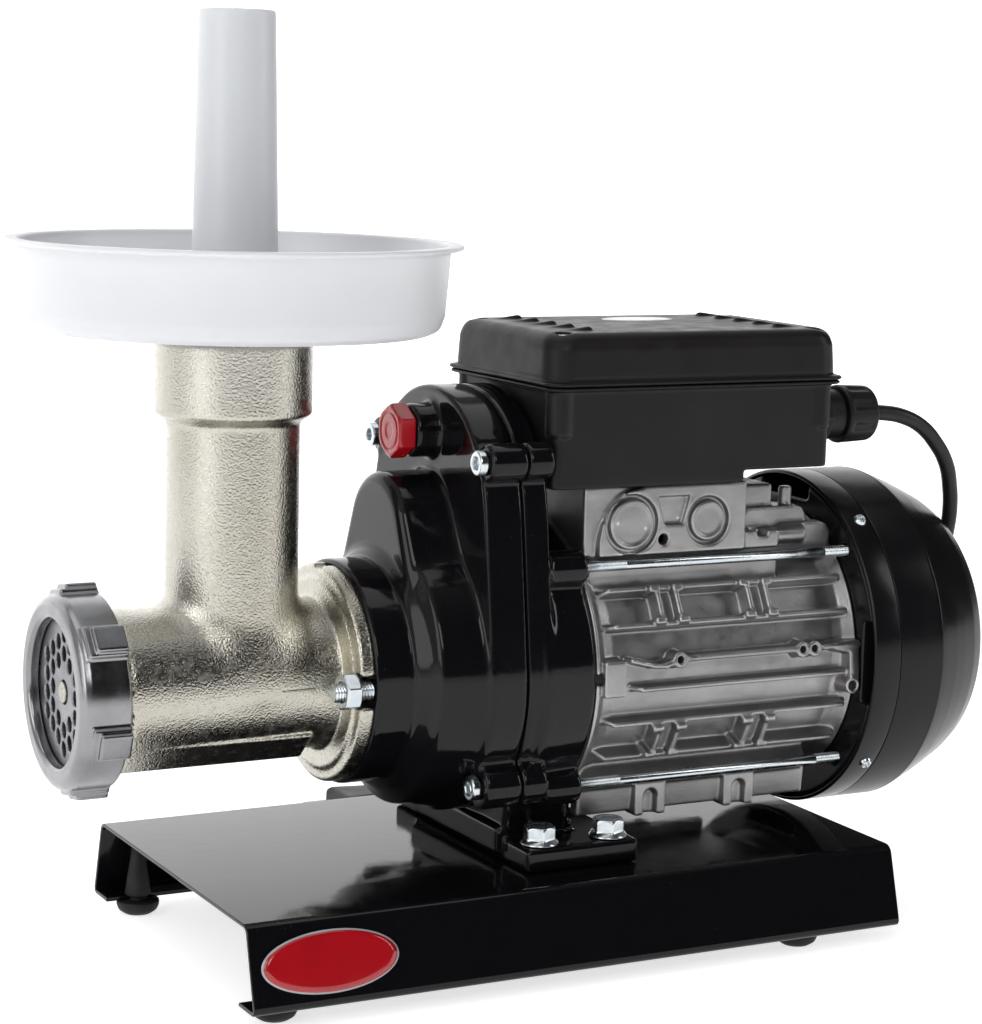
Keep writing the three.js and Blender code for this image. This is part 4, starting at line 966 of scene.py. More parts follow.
def make_case_rear():
    split = CASE_SPLIT_X + 0.3
    case = Solid(egg(split, CASE_REAR_X, CASE_EGG, edge=1.6))
    case.join(rod(X, CASE_REAR_X - 6, SHIELD_X, 79.5, 0, AXIS_Z, 1.5, radius_end=77.5), blend=3)
    case.join(prism(X, [(-50, 2), (50, 2), (56, 40), (60, 70), (-60, 70), (-56, 40)], split, SHIELD_X, 1.5),
              blend=4)
    case.join(slab(80.5, 125.7, -50.5, 50.5, 4, AXIS_Z - CASE_EGG[0] - 1, 1.2), blend=1)
    case.join(slab(84.5, 150, -78, 78, 0.3, PEDESTAL_TOP, 1.4), blend=1.5)
    case.join(*case_lugs(split, CASE_REAR_X), blend=3)
    case.join(*at_tie_rods(CASE_REAR_X - 1, SHIELD_X - 1, 9.5, 1.2), blend=3)
    case.cut(rod(X, split - 1, 90, GEAR_ROOM_R), egg(split - 1, 90, LAY_ROOM, lowest=70),
             rod(X, 84, 96, 16.6, 0, LAY_Z), rod(X, 80, 130, 11), rod(X, 104, 130, 20.6),
             turned(X, [(111, 27), (SHIELD_X + 5, 27), (SHIELD_X + 5, 68), (111, 68)]), blend=0.4)
    case.cut(*at_tie_rods(104, SHIELD_X + 4, ROD_R + 0.4), blend=0.4)
    case.cut(*case_screw_holes(split - 1, 95.5), blend=0.4)
    case.cut(*[rod(Z, -1, PEDESTAL_TOP + 1, 5.3, x, sign * BOLT_Y)
               for sign in SIDES.values() for x in BOLT_X.values()], blend=0.4)
    field_piece("case_rear", case, 0.95, "gloss_enamel", stands_for=["gear_case_rear"], soften=2)


def make_case_screw(level, side):
    y, z = SIDES[side] * CASE_SCREW_Y, CASE_SCREW_Z[level]
    seat = CASE_FLANGE_X - 0.3
    screw = Solid(rod(X, seat - 4.6, seat, 6.5, y, z, 0.8))
    screw.join(rod(X, seat - 1, 94, 4.0, y, z), blend=0.3)
    screw.cut(prism(X, hexagon(6, y, z), seat - 6, seat - 1.6), blend=0.4)
    field_piece(f"cap_screw_{level}_{side}", screw, 0.4, "zinc_plate",
                stands_for=[f"case_screw_{level}_{side}"])


def make_base_bolt(end, side):
    x, y = BOLT_X[end], SIDES[side] * BOLT_Y
    seat = PEDESTAL_TOP + 0.3
    bolt = Solid(rod(Z, -13, seat + 1, STUD_R, x, y))
    bolt.join(rod(Z, seat, seat + 2.6, 10.6, x, y, 0.5, radius_end=8.4), blend=0.6)
    head = Solid(prism(Z, hexagon(15, x, y, 0.3), seat + 1.5, seat + 9.6, 0.3))
    head.keep(rod(Z, seat - 2, seat + 9.6, 16.0, x, y, 0.4, radius_end=7.4), blend=0.3)
    bolt.join(head.shape(), blend=0.8)
    bolt.cut(rod(Z, seat + 8.7, seat + 12, 5.2, x, y, 0.3), blend=0.5)
    bolt.join(prism(Z, hexagon(15, x, y, 0.3), -11.3, -2.3, 0.4), blend=0.3)
    field_piece(f"hex_bolt_{end}_{side}", bolt, 0.42, "zinc_plate", stands_for=[f"base_bolt_{end}_{side}"])


def make_oil_plug():
    plug = Solid(prism(X, hexagon(25, OIL_Y, OIL_Z, math.pi / 6), OIL_X, OIL_X + 9.7, 0.7))
    plug.keep(rod(X, OIL_X - 0.6, OIL_X + 12, 12.0, OIL_Y, OIL_Z, 0.5, radius_end=26.5), blend=0.4)
    plug.join(rod(X, OIL_X + 9, 60, 7.8, OIL_Y, OIL_Z), blend=0.3)
    groove = [(OIL_X - 1, 9.0), (OIL_X + 1, 9.4), (OIL_X + 1, 10.0), (OIL_X - 1, 10.4)]
    plug.cut(turned(X, groove, OIL_Y, OIL_Z), blend=0.6)
    plug.cut(rod(X, OIL_X - 2, OIL_X + 0.6, 4.2, OIL_Y, OIL_Z, 0.5), blend=0.6)
    field_piece("filler_plug", plug, 0.45, "red_plastic", stands_for=["oil_plug"])


def make_studs():
    for side, sign in SIDES.items():
        y = sign * STUD_Y
        threaded_rod(f"threaded_stud_{side}", -13, 24, STUD_R, 1.5, [(-12.5, 8)], y, AXIS_Z, "zinc_plate",
                     stands_for=[f"stud_{side}"], sides=32)
        nut = Solid(prism(X, hexagon(17, y, AXIS_Z, math.pi / 6 + 0.2), -8.7, -0.3, 0.3))
        nut.keep(turned(X, [(-8.7, 0), (-8.7, 8.3), (-7.5, 10.4), (-1.5, 10.4), (-0.3, 8.3), (-0.3, 0)],
                        y, AXIS_Z), blend=0.4)
        nut.cut(rod(X, -10, 1, STUD_R + 0.3, y), blend=0.7)
        field_piece(f"hex_nut_{side}", nut, 0.4, "zinc_plate", body=f"stud_nut_{side}",
                    stands_for=[f"stud_nut_{side}"])


def make_tie_rods():
    for level, z in ROD_Z.items():
        for side, sign in SIDES.items():
            threaded_rod(f"tie_rod_{level}_{side}_threaded", 105, 297, ROD_R, 1.0,
                         [(106, 147), (270, 296)], sign * ROD_Y, z, "zinc_plate",
                         stands_for=[f"tie_rod_{level}_{side}"], sides=24)


make_case_front()
make_case_rear()
for level in CASE_SCREW_Z:
    for side in SIDES:
        make_case_screw(level, side)
for end in BOLT_X:
    for side in SIDES:
        make_base_bolt(end, side)
make_oil_plug()
make_studs()
make_tie_rods()


# ---- motor ----------------------------------------------------------------------------------------
MOTOR_X0, MOTOR_X1 = 122.3, 283.7
MOTOR_CORE_R = 70.0
MOTOR_BORE = 62.0
FIN_R = 78.0
FIN_ANGLES = (35.3, 20.7, -18.3, -34.8)
MIDDLE_FIN_ANGLE = 6.5
PAIRS_X = (168.5, 223.5)
PAIR_ANGLES = (28.0, -26.5)
BOSS_X = (171, 247, 254.5)
CORNER_BOSS = (278.6, 83.8)
BLOCK_ANGLE = 1
KNOCK_OUT_Z = 174.3
COVER_X0, COVER_X1, COVER_R = 284.0, 371.0, 93.0


def at_angle(shape, degrees):
    """A shape drawn on the near side, turned up by degrees, and its mirror image on the far side."""
    return both_sides(about_axis(shape, -degrees))


def fin(x0, x1, height=FIN_R):
    """Fin on the near side whose ends run in over a slope."""
    half, slope = 1.5, 8.0
    outline = [(x0, -MOTOR_CORE_R + 3), (x0 + slope, -height), (x1 - slope * 0.4, -height),
               (x1, -MOTOR_CORE_R + 3)]
    return prism(Z, outline, AXIS_Z - half, AXIS_Z + half, 0.9)


def bracket_posts(x, middle):
    """Two posts with wide caps and splayed feet between neighbouring fins, on the near side."""
    shapes = []
    for dx in (-5.6, 5.6):
        outer = x + dx * 1.25
        shapes.append(slab(x + dx - 1.6, x + dx + 1.6, -FIN_R - 1.6, -MOTOR_CORE_R + 4,
                           AXIS_Z - 9, AXIS_Z + 9, 0.6))
        for dz in (-8.6, 8.6):
            shapes.append(slab(outer - 3.6, outer + 3.2, -FIN_R - 2.4, -MOTOR_CORE_R + 4,
                               AXIS_Z + dz - 1.9, AXIS_Z + dz + 1.9, 0.6))
    shapes.append(slab(x - 5.6, x + 5.6, -FIN_R + 3.5, -MOTOR_CORE_R + 4, AXIS_Z - 9, AXIS_Z + 9, 0.6))
    return [shape for drawn in shapes for shape in at_angle(drawn, middle)]


def sag_fin():
    """The middle fin: a thin lead-in that dips to its first boss, then straight to the corner bracket."""
    z = AXIS_Z
    path = [(143, 1.2), (150, -0.6), (157, -2.4), (163, -2.6), (170.5, 0), (181, 0.4), (283, 0.4)]
    rails = []
    for (x0, z0), (x1, z1) in zip(path, path[1:]):
        half = 1.5 if x0 < 163 else 1.9
        for reach in (FIN_R - 0.6, FIN_R - 3.4, FIN_R - 6.2):
            rails.append(rail((x0, -reach, z + z0), (x1, -reach, z + z1), half))
    return rails


def motor_body():
    core = [(MOTOR_X0, 0), (MOTOR_X0, 77), (124.5, 77), (126.5, 73.6), (130, 71.2), (136, 70),
            (272, 70), (277.5, 71), (281, 73.5), (MOTOR_X1, 76), (MOTOR_X1, 0)]
    motor = Solid(turned(X, core))
    for degrees in FIN_ANGLES:
        motor.join(*at_angle(fin(MOTOR_X0 + 5, MOTOR_X1 - 2), degrees), blend=1.4)
    motor.join(*at_angle(fin(142, 280, FIN_R - 1), -4.5), blend=1.4)
    for shape in sag_fin():
        motor.join(*at_angle(shape, MIDDLE_FIN_ANGLE), blend=0.8)
    block = slab(126, 139, -79.5, -66, AXIS_Z - 9.5, AXIS_Z + 9.5, 0.8)
    motor.join(*at_angle(block, BLOCK_ANGLE), blend=1.0)
    for x, angle in product(PAIRS_X, PAIR_ANGLES):
        motor.join(*bracket_posts(x, angle), blend=0.6)
    for x in BOSS_X:
        motor.join(*at_angle(rod(Y, -FIN_R - 1.6, -66, 4.4, x, AXIS_Z, 0.6), MIDDLE_FIN_ANGLE), blend=1.0)
    corner = prism(Y, [(268, AXIS_Z + 2), (MOTOR_X1 - 0.6, AXIS_Z + 3), (MOTOR_X1 - 0.6, AXIS_Z - 19),
                       (277, AXIS_Z - 19), (277, AXIS_Z - 4), (268, AXIS_Z - 2)], -FIN_R - 1, -66, 0.7)
    motor.join(*at_angle(corner, MIDDLE_FIN_ANGLE), blend=1.0)
    motor.join(*both_sides(rod(Y, -FIN_R - 3, -66, 4.5, *CORNER_BOSS, 0.6)), blend=0.8)
    return motor


def add_terminal_base(motor):
    """Block under the box: its stepped end, two end plates, arc groove, knock-outs and notch."""
    near = -60.0
    motor.join(slab(124, 220, near, 40, 158, 194.2, 0.9), slab(128, 244, -55.3, 40, 134, 160, 1.2), blend=2)
    motor.join(slab(218, 242, near + 1, 38, 158, 167, 0.8), blend=1.0)
    motor.join(slab(219, 245, -46, 36, 170, 190, 1.0), blend=1.0)
    plates = [([(219, 150), (266, 150), (266, 173), (263.5, 176.6), (259, 178), (229, 178), (222, 171),
                (219, 169)], -48.0), ([(240, 150), (281, 150), (281, 163), (278.5, 167.2), (274, 169),
                (248, 169), (243, 165), (240, 163)], -50.0)]
    for outline, y in plates:
        motor.join(prism(Y, outline, y, y + 7, 0.9), blend=1.0)
        motor.join(prism(Y, outline, 30, 37, 0.9), blend=1.0)
    motor.join(slab(219, 266, -42, 34, 136, 168, 1.2), slab(240, 281, -44, 34, 136, 160, 1.2), blend=1.0)
    motor.join(rod(Z, 160, 188, 3.6, 255, -43, 0.9), blend=1.0)
    motor.join(rod(X, 240, 262, 4.4, -51, 163, 0.6), blend=1.6)
    arc = prism(Y, [(122, 196), (122, 150), (131, 150), (131.4, 166), (133, 174), (136.6, 181.6),
                    (142, 187.6), (149, 191.6), (157, 193.4), (157, 196)], near - 2, near + 4.0, 0)
    motor.cut(arc, blend=0.6)
    for x, pocket, disc in ((150.5, 15.6, 13.0), (196.5, 12.8, 10.4)):
        motor.cut(rod(Y, near - 1, near + 3.4, pocket, x, KNOCK_OUT_Z, 0.4), blend=0.6)
        motor.join(rod(Y, near - 0.3, near + 6, disc, x, KNOCK_OUT_Z, 0.7), blend=0.4)
        motor.cut(rod(Y, near - 1, near + 0.6, disc - 2.2, x, KNOCK_OUT_Z, 0.2), blend=0.3)
    motor.cut(prism(Y, [(165.6, 188), (185.4, 188), (181, 173.2), (170.4, 173.2)], near - 1, near + 3, 0.4),
              blend=0.5)
    motor.cut(rod(Y, near - 1, near + 6, 2.9, 169.6, 165.6), blend=0.5)
    motor.cut(slab(228.4, 234.8, -62, -49, 164, 173, 1.5), blend=0.8)


def add_skirt(motor):
    """Two rails under the body with notched pads, open between them."""
    motor.join(prism(X, [(-52, 20), (52, 20), (54.5, 40), (40, 60), (-40, 60), (-54.5, 40)],
                     MOTOR_X0 + 4, 268, 1.0), blend=3)
    for x in PAIRS_X:
        motor.join(*both_sides(slab(x - 9.5, x + 9.5, -57.5, -46, 18, 37, 1.0)), blend=1.2)
        motor.cut(*both_sides(slab(x - 4, x + 4, -60, -52.5, 12, 29, 1.5),
                              rod(Y, -60, -52.5, 4, x, 28, 0.3)), blend=0.8)
    motor.cut(slab(MOTOR_X0 - 2, 272, -45, 45, 12, 29, 1.0), blend=1.0)
    motor.join(*both_sides(slab(MOTOR_X0 + 5, 266, -55.4, -51, 34.5, 37.2, 0.8)), blend=0.8)


def make_motor():
    motor = motor_body()
    add_terminal_base(motor)
    add_skirt(motor)
    motor.cut(rod(X, MOTOR_X0 - 1, MOTOR_X1 + 1, MOTOR_BORE), blend=0.4)
    motor.cut(slab(130, 214, -54, 34, AXIS_Z + 50, 196), blend=0.4)
    motor.cut(*at_angle(rod(X, 120, 131, 3.2, -74, AXIS_Z, 0.3), BLOCK_ANGLE), blend=0.5)
    for x in BOSS_X:
        motor.cut(*at_angle(rod(Y, -FIN_R - 3, -72, 1.9, x, AXIS_Z), MIDDLE_FIN_ANGLE), blend=0.4)
    motor.cut(*both_sides(rod(Y, -FIN_R - 5, -72, 2.5, *CORNER_BOSS)), blend=0.4)
    motor.cut(*at_tie_rods(120, 290, ROD_R + 0.5), blend=0.4)
    field_piece("motor_casting", motor, 0.8, "die_cast", stands_for=["motor_housing"])


def make_rear_shield():
    disc = Solid(turned(X, [(COVER_X0, 14), (COVER_X0, 90.4), (296, 90.4), (300, 70), (302, 24), (302, 14)]))
    disc.cut(rod(X, 288, 304, 20.6), blend=0.4)
    for quarter in range(4):
        disc.cut(about_axis(slab(280, 301, 80, 95, AXIS_Z - 22, AXIS_Z + 22, 1.5), 90 * quarter), blend=1)
    disc.cut(*at_tie_rods(280, 300, ROD_R + 0.4), blend=0.4)
    # Satin black enamel on the shield is painted shade: it keeps the gap inside the cover's rim dark, as if the
    # shield sat deeper in shadow.
    field_piece("rear_end_shield", disc, 1.1, "satin_enamel", stands_for=["rear_shield"])


def make_fan_cover():
    """Front band, main shell and rear grille, with a fine seam between band and shell."""
    wall = 2.0
    seam = 300.5
    band = [(COVER_X0, COVER_R - 1.2), (COVER_X0 + 0.8, COVER_R), (seam - 0.3, COVER_R),
            (seam - 0.3, COVER_R - wall), (COVER_X0, COVER_R - wall)]
    turned_piece("fan_cover_band", band, X, 0, AXIS_Z, "satin_enamel", segments=192, radius=0.4)
    outside = [(seam + 0.2, COVER_R - 0.15), (326.6, COVER_R - 0.15), (328, COVER_R), (334, 90.6),
               (342, 87.4), (350, 83.8), (360, 79), (367.5, 74.2), (370, 71.4), (COVER_X1, 68)]
    inside = [(x - wall / 2, r - wall) for x, r in reversed(outside[1:-1])]
    shell = outside + [(COVER_X1, 63), (COVER_X1 - wall, 63), (COVER_X1 - wall, 67)] + inside
    shell += [(seam + 0.2, COVER_R - wall)]
    turned_piece("fan_cover_shell", shell, X, 0, AXIS_Z, "satin_enamel", stands_for=["fan_cover"],
                 segments=192, radius=0.8)
    grille = Solid(rod(X, COVER_X1 - wall, COVER_X1 - 0.1, 63.5))
    for k in range(12):
        grille.cut(about_axis(slab(COVER_X1 - 4, COVER_X1 + 1, 22, 60, AXIS_Z - 2.6, AXIS_Z + 2.6, 1.2),
                              30 * k), blend=0.4)
    field_piece("fan_cover_grille", grille, 0.8, "satin_enamel")
    for k, degrees in enumerate((51.5, -38.5, 141.5, 231.5), 1):
        make_cover_screw(f"cover_screw_{k}", degrees)


def make_cover_screw(name, degrees):
    """Pan head with a cross recess, standing on the cover's band."""
    x, near = 294.5, -COVER_R
    head = Solid(rod(Y, near - 2.2, near + 0.5, 2.6, x, AXIS_Z, 0.5, radius_end=3.9))
    for length, width in ((2.4, 0.55), (0.55, 2.4)):
        head.cut(slab(x - length, x + length, near - 3, near - 1.1, AXIS_Z - width, AXIS_Z + width),
                 blend=0.3)
    head.join(rod(Y, near + 0.2, near + 4, 1.6, x, AXIS_Z), blend=0.2)
    field_piece(name, Solid(about_axis(head.shape(), -degrees)), 0.3, "zinc_plate")


make_motor()
make_rear_shield()
make_fan_cover()


# ---- electrical box -------------------------------------------------------------------------------
BOX_X0, BOX_X1, BOX_Y0, BOX_Y1 = 99.0, 269.5, -66.0, 45.0
BOX_Z0, BOX_STEP_X, BOX_STEP_Z, BOX_RIM_Z = 194.5, 215.0, 200.5, 247.0
LID_TOP = 274.0
LIP = 4.5
WALL = 2.4
LID_SCREW_INSET = 9.5
SWITCH_X, SWITCH_Z = 150.0, 222.0


def tub(stations, corner, edge=0.6):
    """Rounded rectangle around the box whose inset changes with height. stations is [(z, inset)]."""
    heights, insets = zip(*stations)
    middle = np.array([(BOX_X0 + BOX_X1) / 2, (BOX_Y0 + BOX_Y1) / 2])
    half = np.array([(BOX_X1 - BOX_X0) / 2, (BOX_Y1 - BOX_Y0) / 2])
    z0, z1 = heights[0], heights[-1]

    def distance(p):
        inset = np.interp(p[:, Z], heights, insets)
        q = np.abs(p[:, :2] - middle) - (half - inset[:, None]) + corner + edge
        across = np.linalg.norm(np.maximum(q, 0), axis=1) + np.minimum(q.max(axis=1), 0) - corner
        return capped(across * 0.93, beyond_ends(p, Z, z0, z1) + edge, edge)
    reach = -min(insets)
    return Shape(distance, np.array([BOX_X0 - reach, BOX_Y0 - reach, z0]),
                 np.array([BOX_X1 + reach, BOX_Y1 + reach, z1]))


def lid_corners(inset):
    return [(x, y) for x in (BOX_X0 + inset, BOX_X1 - inset) for y in (BOX_Y0 + inset, BOX_Y1 - inset)]


def make_box():
    box = Solid(tub([(BOX_Z0, 1.7), (BOX_RIM_Z, 1.5)], 3.5))
    box.join(tub([(BOX_RIM_Z - 2.2, 1 - LIP), (BOX_RIM_Z, 1 - LIP)], 7), blend=1.5)
    box.join(*[rod(Z, BOX_Z0 + 27, BOX_RIM_Z - 2, 7.0, x, y, 0.5) for x, y in lid_corners(7.0)], blend=0.5)
    box.cut(tub([(BOX_STEP_Z + WALL, WALL + 1), (BOX_RIM_Z + 6, WALL + 1)], 3), blend=0.4)
    box.cut(slab(BOX_STEP_X, BOX_X1 + 4, BOX_Y0 - 2, BOX_Y1 + 2, BOX_Z0 - 2, BOX_STEP_Z, 0.6), blend=0.6)
    box.cut(rod(X, BOX_X1 - 5, BOX_X1 + 5, 8.6, GLAND_Y, GLAND_Z), blend=0.4)
    box.cut(slab(SWITCH_X - 13.6, SWITCH_X + 13.6, BOX_Y1 - 5, BOX_Y1 + 3, SWITCH_Z - 10.6, SWITCH_Z + 10.6),
            slab(150, 200, -30, 10, BOX_Z0 - 1, BOX_STEP_Z + 4), blend=0.4)
    box.cut(slab(BOX_X0 - 3, BOX_X0 + 11, BOX_Y0 - 3, BOX_Y0 + 1.2, BOX_Z0 - 1, BOX_Z0 + 27, 0.4),
            slab(BOX_X0 - 3, BOX_X0 + 11, BOX_Y1 - 1.2, BOX_Y1 + 3, BOX_Z0 - 1, BOX_Z0 + 27, 0.4), blend=0.7)
    field_piece("box_tub", box, 0.85, "moulded_black", stands_for=["terminal_box"])


def make_lid():
    z0 = BOX_RIM_Z + 0.3
    lid = Solid(tub([(z0, -LIP), (z0 + 2.0, 0.3 - LIP), (z0 + 2.6, 2.4 - LIP), (LID_TOP - 8, 3.2 - LIP),
                     (LID_TOP, 5.6 - LIP)], 8, 5.0))
    lid.join(tub([(z0, -LIP), (z0 + 2.2, 0.2 - LIP)], 8, 0.5), blend=0.6)
    for outer, inner in ((BOX_X0 + 2, BOX_X0 + 30), (BOX_X1 - 2, BOX_X1 - 30)):
        tip = inner + math.copysign(1.5, outer - inner)
        wedge = [(outer, LID_TOP - 5), (outer, LID_TOP - 1.5), (tip, LID_TOP + 2.2), (inner, LID_TOP + 1.6),
                 (inner, LID_TOP - 5)]
        for k in range(5):
            y = BOX_Y0 + 17.5 + k * 19
            lid.join(prism(Y, wedge, y - 1.7, y + 1.7, 0.6), blend=0.8)
    lid.cut(*[rod(Z, LID_TOP - 4, LID_TOP + 4, 4.2, x, y, 0.3)
              for x, y in lid_corners(LID_SCREW_INSET)], blend=0.8)
    lid.cut(tub([(z0 - 4, WALL), (LID_TOP - 7, WALL + 2.5)], 6), blend=0.4)
    field_piece("box_lid", lid, 0.8, "moulded_black", stands_for=["terminal_lid"])
    for k, (x, y) in enumerate(lid_corners(LID_SCREW_INSET), 1):
        screw = Solid(rod(Z, LID_TOP - 3.9, LID_TOP - 1.4, 3.6, x, y, 0.7))
        for length, width in ((2.2, 0.5), (0.5, 2.2)):
            screw.cut(slab(x - length, x + length, y - width, y + width, LID_TOP - 2.6, LID_TOP), blend=0.3)
        field_piece(f"lid_screw_{k}", screw, 0.3, "zinc_plate")
    middle = (193, 14, LID_TOP - 0.1)
    dome("lid_label", middle, (1, 0, 0), (0, 1, 0), (0, 0, 1), (21, 11.5), 0.5, "label_white")


def make_gland():
    nut_x, end_x = GLAND_X[1], GLAND_X[2]
    body = Solid(prism(X, hexagon(28, GLAND_Y, GLAND_Z), BOX_X1 + 0.3, 280, 0.8))
    body.join(rod(X, BOX_X1 - 8, GLAND_X[0], 8.2, GLAND_Y, GLAND_Z),
              rod(X, 277, nut_x + 8, 11, GLAND_Y, GLAND_Z),
              rod(X, 277, nut_x - 0.3, 13.5, GLAND_Y, GLAND_Z, 0.5), blend=0.5)
    body.cut(rod(X, BOX_X1 - 9, nut_x + 9, CORD_D / 2 + 0.8, GLAND_Y, GLAND_Z), blend=0.4)
    field_piece("gland_fitting", body, 0.55, "moulded_black", stands_for=["gland_body"])
    nut = Solid(rod(X, nut_x, end_x, 15.9, GLAND_Y, GLAND_Z, 1.6, radius_end=15.0))
    nut.cut(rod(X, nut_x - 1, nut_x + 9, 11.3, GLAND_Y, GLAND_Z),
            rod(X, nut_x, end_x + 1, CORD_D / 2 + 0.5, GLAND_Y, GLAND_Z), blend=0.5)
    for k in range(8):
        angle = (k + 0.5) * math.pi / 4
        y, z = GLAND_Y + 18.6 * math.cos(angle), GLAND_Z + 18.6 * math.sin(angle)
        nut.cut(rod(X, nut_x + 4, end_x - 3, 4.2, y, z, 0.5), blend=0.8)
    field_piece("gland_cap_nut", nut, 0.5, "moulded_black", stands_for=["gland_nut"])


def make_switch():
    y = BOX_Y1 + 0.3
    body = Solid(slab(SWITCH_X - 16, SWITCH_X + 16, y, y + 3, SWITCH_Z - 12.5, SWITCH_Z + 12.5, 1))
    body.join(slab(SWITCH_X - 13, SWITCH_X + 13, BOX_Y1 - 16, y + 1, SWITCH_Z - 10, SWITCH_Z + 10, 0.4),
              blend=0.3)
    body.cut(slab(SWITCH_X - 11, SWITCH_X + 11, BOX_Y1 - 8, y + 4, SWITCH_Z - 8.5, SWITCH_Z + 8.5, 0.3),
             blend=0.4)
    field_piece("switch_bezel", body, 0.5, "moulded_black", stands_for=["switch_body"])
    pivot = y - 1
    profile = [(-3, -5.4), (0, -6.4), (6, -6.2), (3.6, 0), (3, 6.2), (0, 6.4), (-3, 5.4)]
    outline = [(pivot + dy, SWITCH_Z + dz) for dy, dz in profile]
    rocker = Solid(prism(X, outline, SWITCH_X - 10, SWITCH_X + 10, 0.5))
    field_piece("rocker_cap", rocker, 0.4, "moulded_black", body="switch_rocker",
                stands_for=["switch_rocker"])


make_box()
make_lid()
make_gland()
make_switch()


# ---- grinder head ---------------------------------------------------------------------------------
HEAD_X = -46.9
BARREL_R, BARREL_BORE = 38.2, 33.6
MOUTH_X, MOUTH_R = -131.0, 44.4
PLATE_X, PLATE_T, PLATE_R = -135.0, 8.4, 41.0
NUT_X0, NUT_X1, NUT_R, NUT_OPENING = -141.5, -117.0, 48.5, 36.5
NUT_LUG_FIRST = 100
NECK_R, NECK_BORE, NECK_TOP = 33.3, 28.6, 232.0
COLLAR_R, COLLAR_TOP = 39.4, 268.0
FLANGE_R, FLANGE_T = 56.3, 8.4
TRAY_FLOOR, TRAY_RIM, TRAY_LIP_R = 273.0, 317.4, 113.4
PUSHER_TOP, PUSHER_BOTTOM = 430.0, 130.4


def make_head():
    barrel = [(MOUTH_X, 0), (MOUTH_X, MOUTH_R - 1), (NUT_X1 - 0.5, MOUTH_R - 1), (NUT_X1 + 3, BARREL_R + 0.2),
              (-16, BARREL_R - 1.8), (-3, BARREL_R - 0.6), (-3, 0)]
    head = Solid(turned(X, barrel, 0, AXIS_Z, 1.0))
    neck = [(AXIS_Z, 0), (AXIS_Z, NECK_R), (NECK_TOP - 3, NECK_R), (NECK_TOP - 3, 0)]
    head.join(turned(Z, neck, HEAD_X, 0), blend=11)
    collar = [(NECK_TOP - 3, 0), (NECK_TOP - 3, NECK_R - 1), (NECK_TOP + 1, COLLAR_R - 1.6),
              (COLLAR_TOP - 1.6, COLLAR_R - 1.6), (COLLAR_TOP - 1.6, 0)]
    head.join(turned(Z, collar, HEAD_X, 0, 1.6), blend=1.6)
    head.join(rod(X, 0, FLANGE_T, FLANGE_R, 0, AXIS_Z, 1.6), blend=5)
    head.join(rod(X, -1.6, 3, 49.5, 0, AXIS_Z, 1.0), blend=1.4)
    keel = [(-27.5, AXIS_Z - 23), (-30.5, AXIS_Z - 25.8), (-15, AXIS_Z - 40), (15, AXIS_Z - 40),
            (30.5, AXIS_Z - 25.8), (27.5, AXIS_Z - 23)]
    head.join(prism(X, keel, NUT_X1 + 2, -14, 0.6), blend=0.5)
    head.cut(rod(X, PLATE_X, MOUTH_X + 4.7, PLATE_R + 0.3), rod(X, MOUTH_X + 4, -112, 38.2),
             rod(X, -113, -12, BARREL_BORE), rod(X, -13, FLANGE_T + 1, 12.4),
             rod(Z, AXIS_Z + 6, COLLAR_TOP + 1, NECK_BORE, HEAD_X, 0), blend=0.6)
    head.cut(*both_sides(slab(-4, FLANGE_T + 1, -FLANGE_R - 2, -STUD_Y, AXIS_Z - 7.8, AXIS_Z + 7.8),
                         rod(X, -4, FLANGE_T + 1, 7.8, -STUD_Y)), blend=1.2)
    head.cut(slab(-4, FLANGE_T + 1, -4, 4, AXIS_Z + FLANGE_R - 2.2, AXIS_Z + FLANGE_R + 2), blend=1.2)
    field_piece("head_casting", head, 0.8, "tinned_iron", stands_for=["grinder_body"], soften=2)
    make_parting_line()


def make_parting_line():
    """Low mould line along the near side of the barrel."""
    line = Solid(rail((NUT_X1 + 1, -BARREL_R - 0.05, AXIS_Z), (-17, -BARREL_R + 0.65, AXIS_Z), 0.7))
    field_piece("head_parting_line", line, 0.35, "tinned_iron")


def make_ring_nut():
    ring = [(NUT_X0, NUT_OPENING + 1.5), (NUT_X0, NUT_R - 5), (NUT_X0 + 0.6, NUT_R - 3),
            (NUT_X0 + 2.2, NUT_R - 1.1), (NUT_X0 + 5, NUT_R), (NUT_X1, NUT_R), (NUT_X1, MOUTH_R + 0.3),
            (PLATE_X - 0.3, MOUTH_R + 0.3), (PLATE_X - 0.3, NUT_OPENING), (NUT_X0 + 1.5, NUT_OPENING)]
    nut = Solid(turned(X, ring))
    rim = AXIS_Z + NUT_R
    foot_outline = [(-9.2, rim - 2), (-8.4, rim + 2.2), (8.4, rim + 2.2), (9.2, rim - 2)]
    top_outline = [(-7.6, rim - 1), (-6.6, rim + 4.6), (6.6, rim + 4.6), (7.6, rim - 1)]
    foot = prism(X, foot_outline, NUT_X0 + 5.0, NUT_X1, 0.6)
    top = prism(X, top_outline, NUT_X0 + 8.4, NUT_X1, 0.7)
    for k in range(6):
        degrees = 90 - NUT_LUG_FIRST + 60 * k
        nut.join(about_axis(foot, degrees), blend=1.6)
        nut.join(about_axis(top, degrees), blend=0.8)
    field_piece("ring_nut_cast", nut, 0.6, "machined_alloy", body="ring_nut", stands_for=["ring_nut"])


def make_hole_plate():
    pitch = 9.6
    plate = Solid(rod(X, PLATE_X, PLATE_X + PLATE_T, PLATE_R, 0, AXIS_Z, 0.4))
    holes = []
    for i, j in product(range(-3, 4), repeat=2):
        if max(abs(i), abs(j), abs(i + j)) in (2, 3):
            y, z = pitch * i * math.sqrt(3) / 2, AXIS_Z + pitch * (j + i / 2)
            holes.append(rod(X, PLATE_X - 1, PLATE_X + PLATE_T + 1, 3.8, y, z))
    plate.cut(*holes, blend=0.5)
    plate.cut(rod(X, PLATE_X - 1, PLATE_X + PLATE_T + 1, 6), blend=0.6)
    field_piece("grinding_plate", plate, 0.5, "ground_steel", stands_for=["hole_plate"])


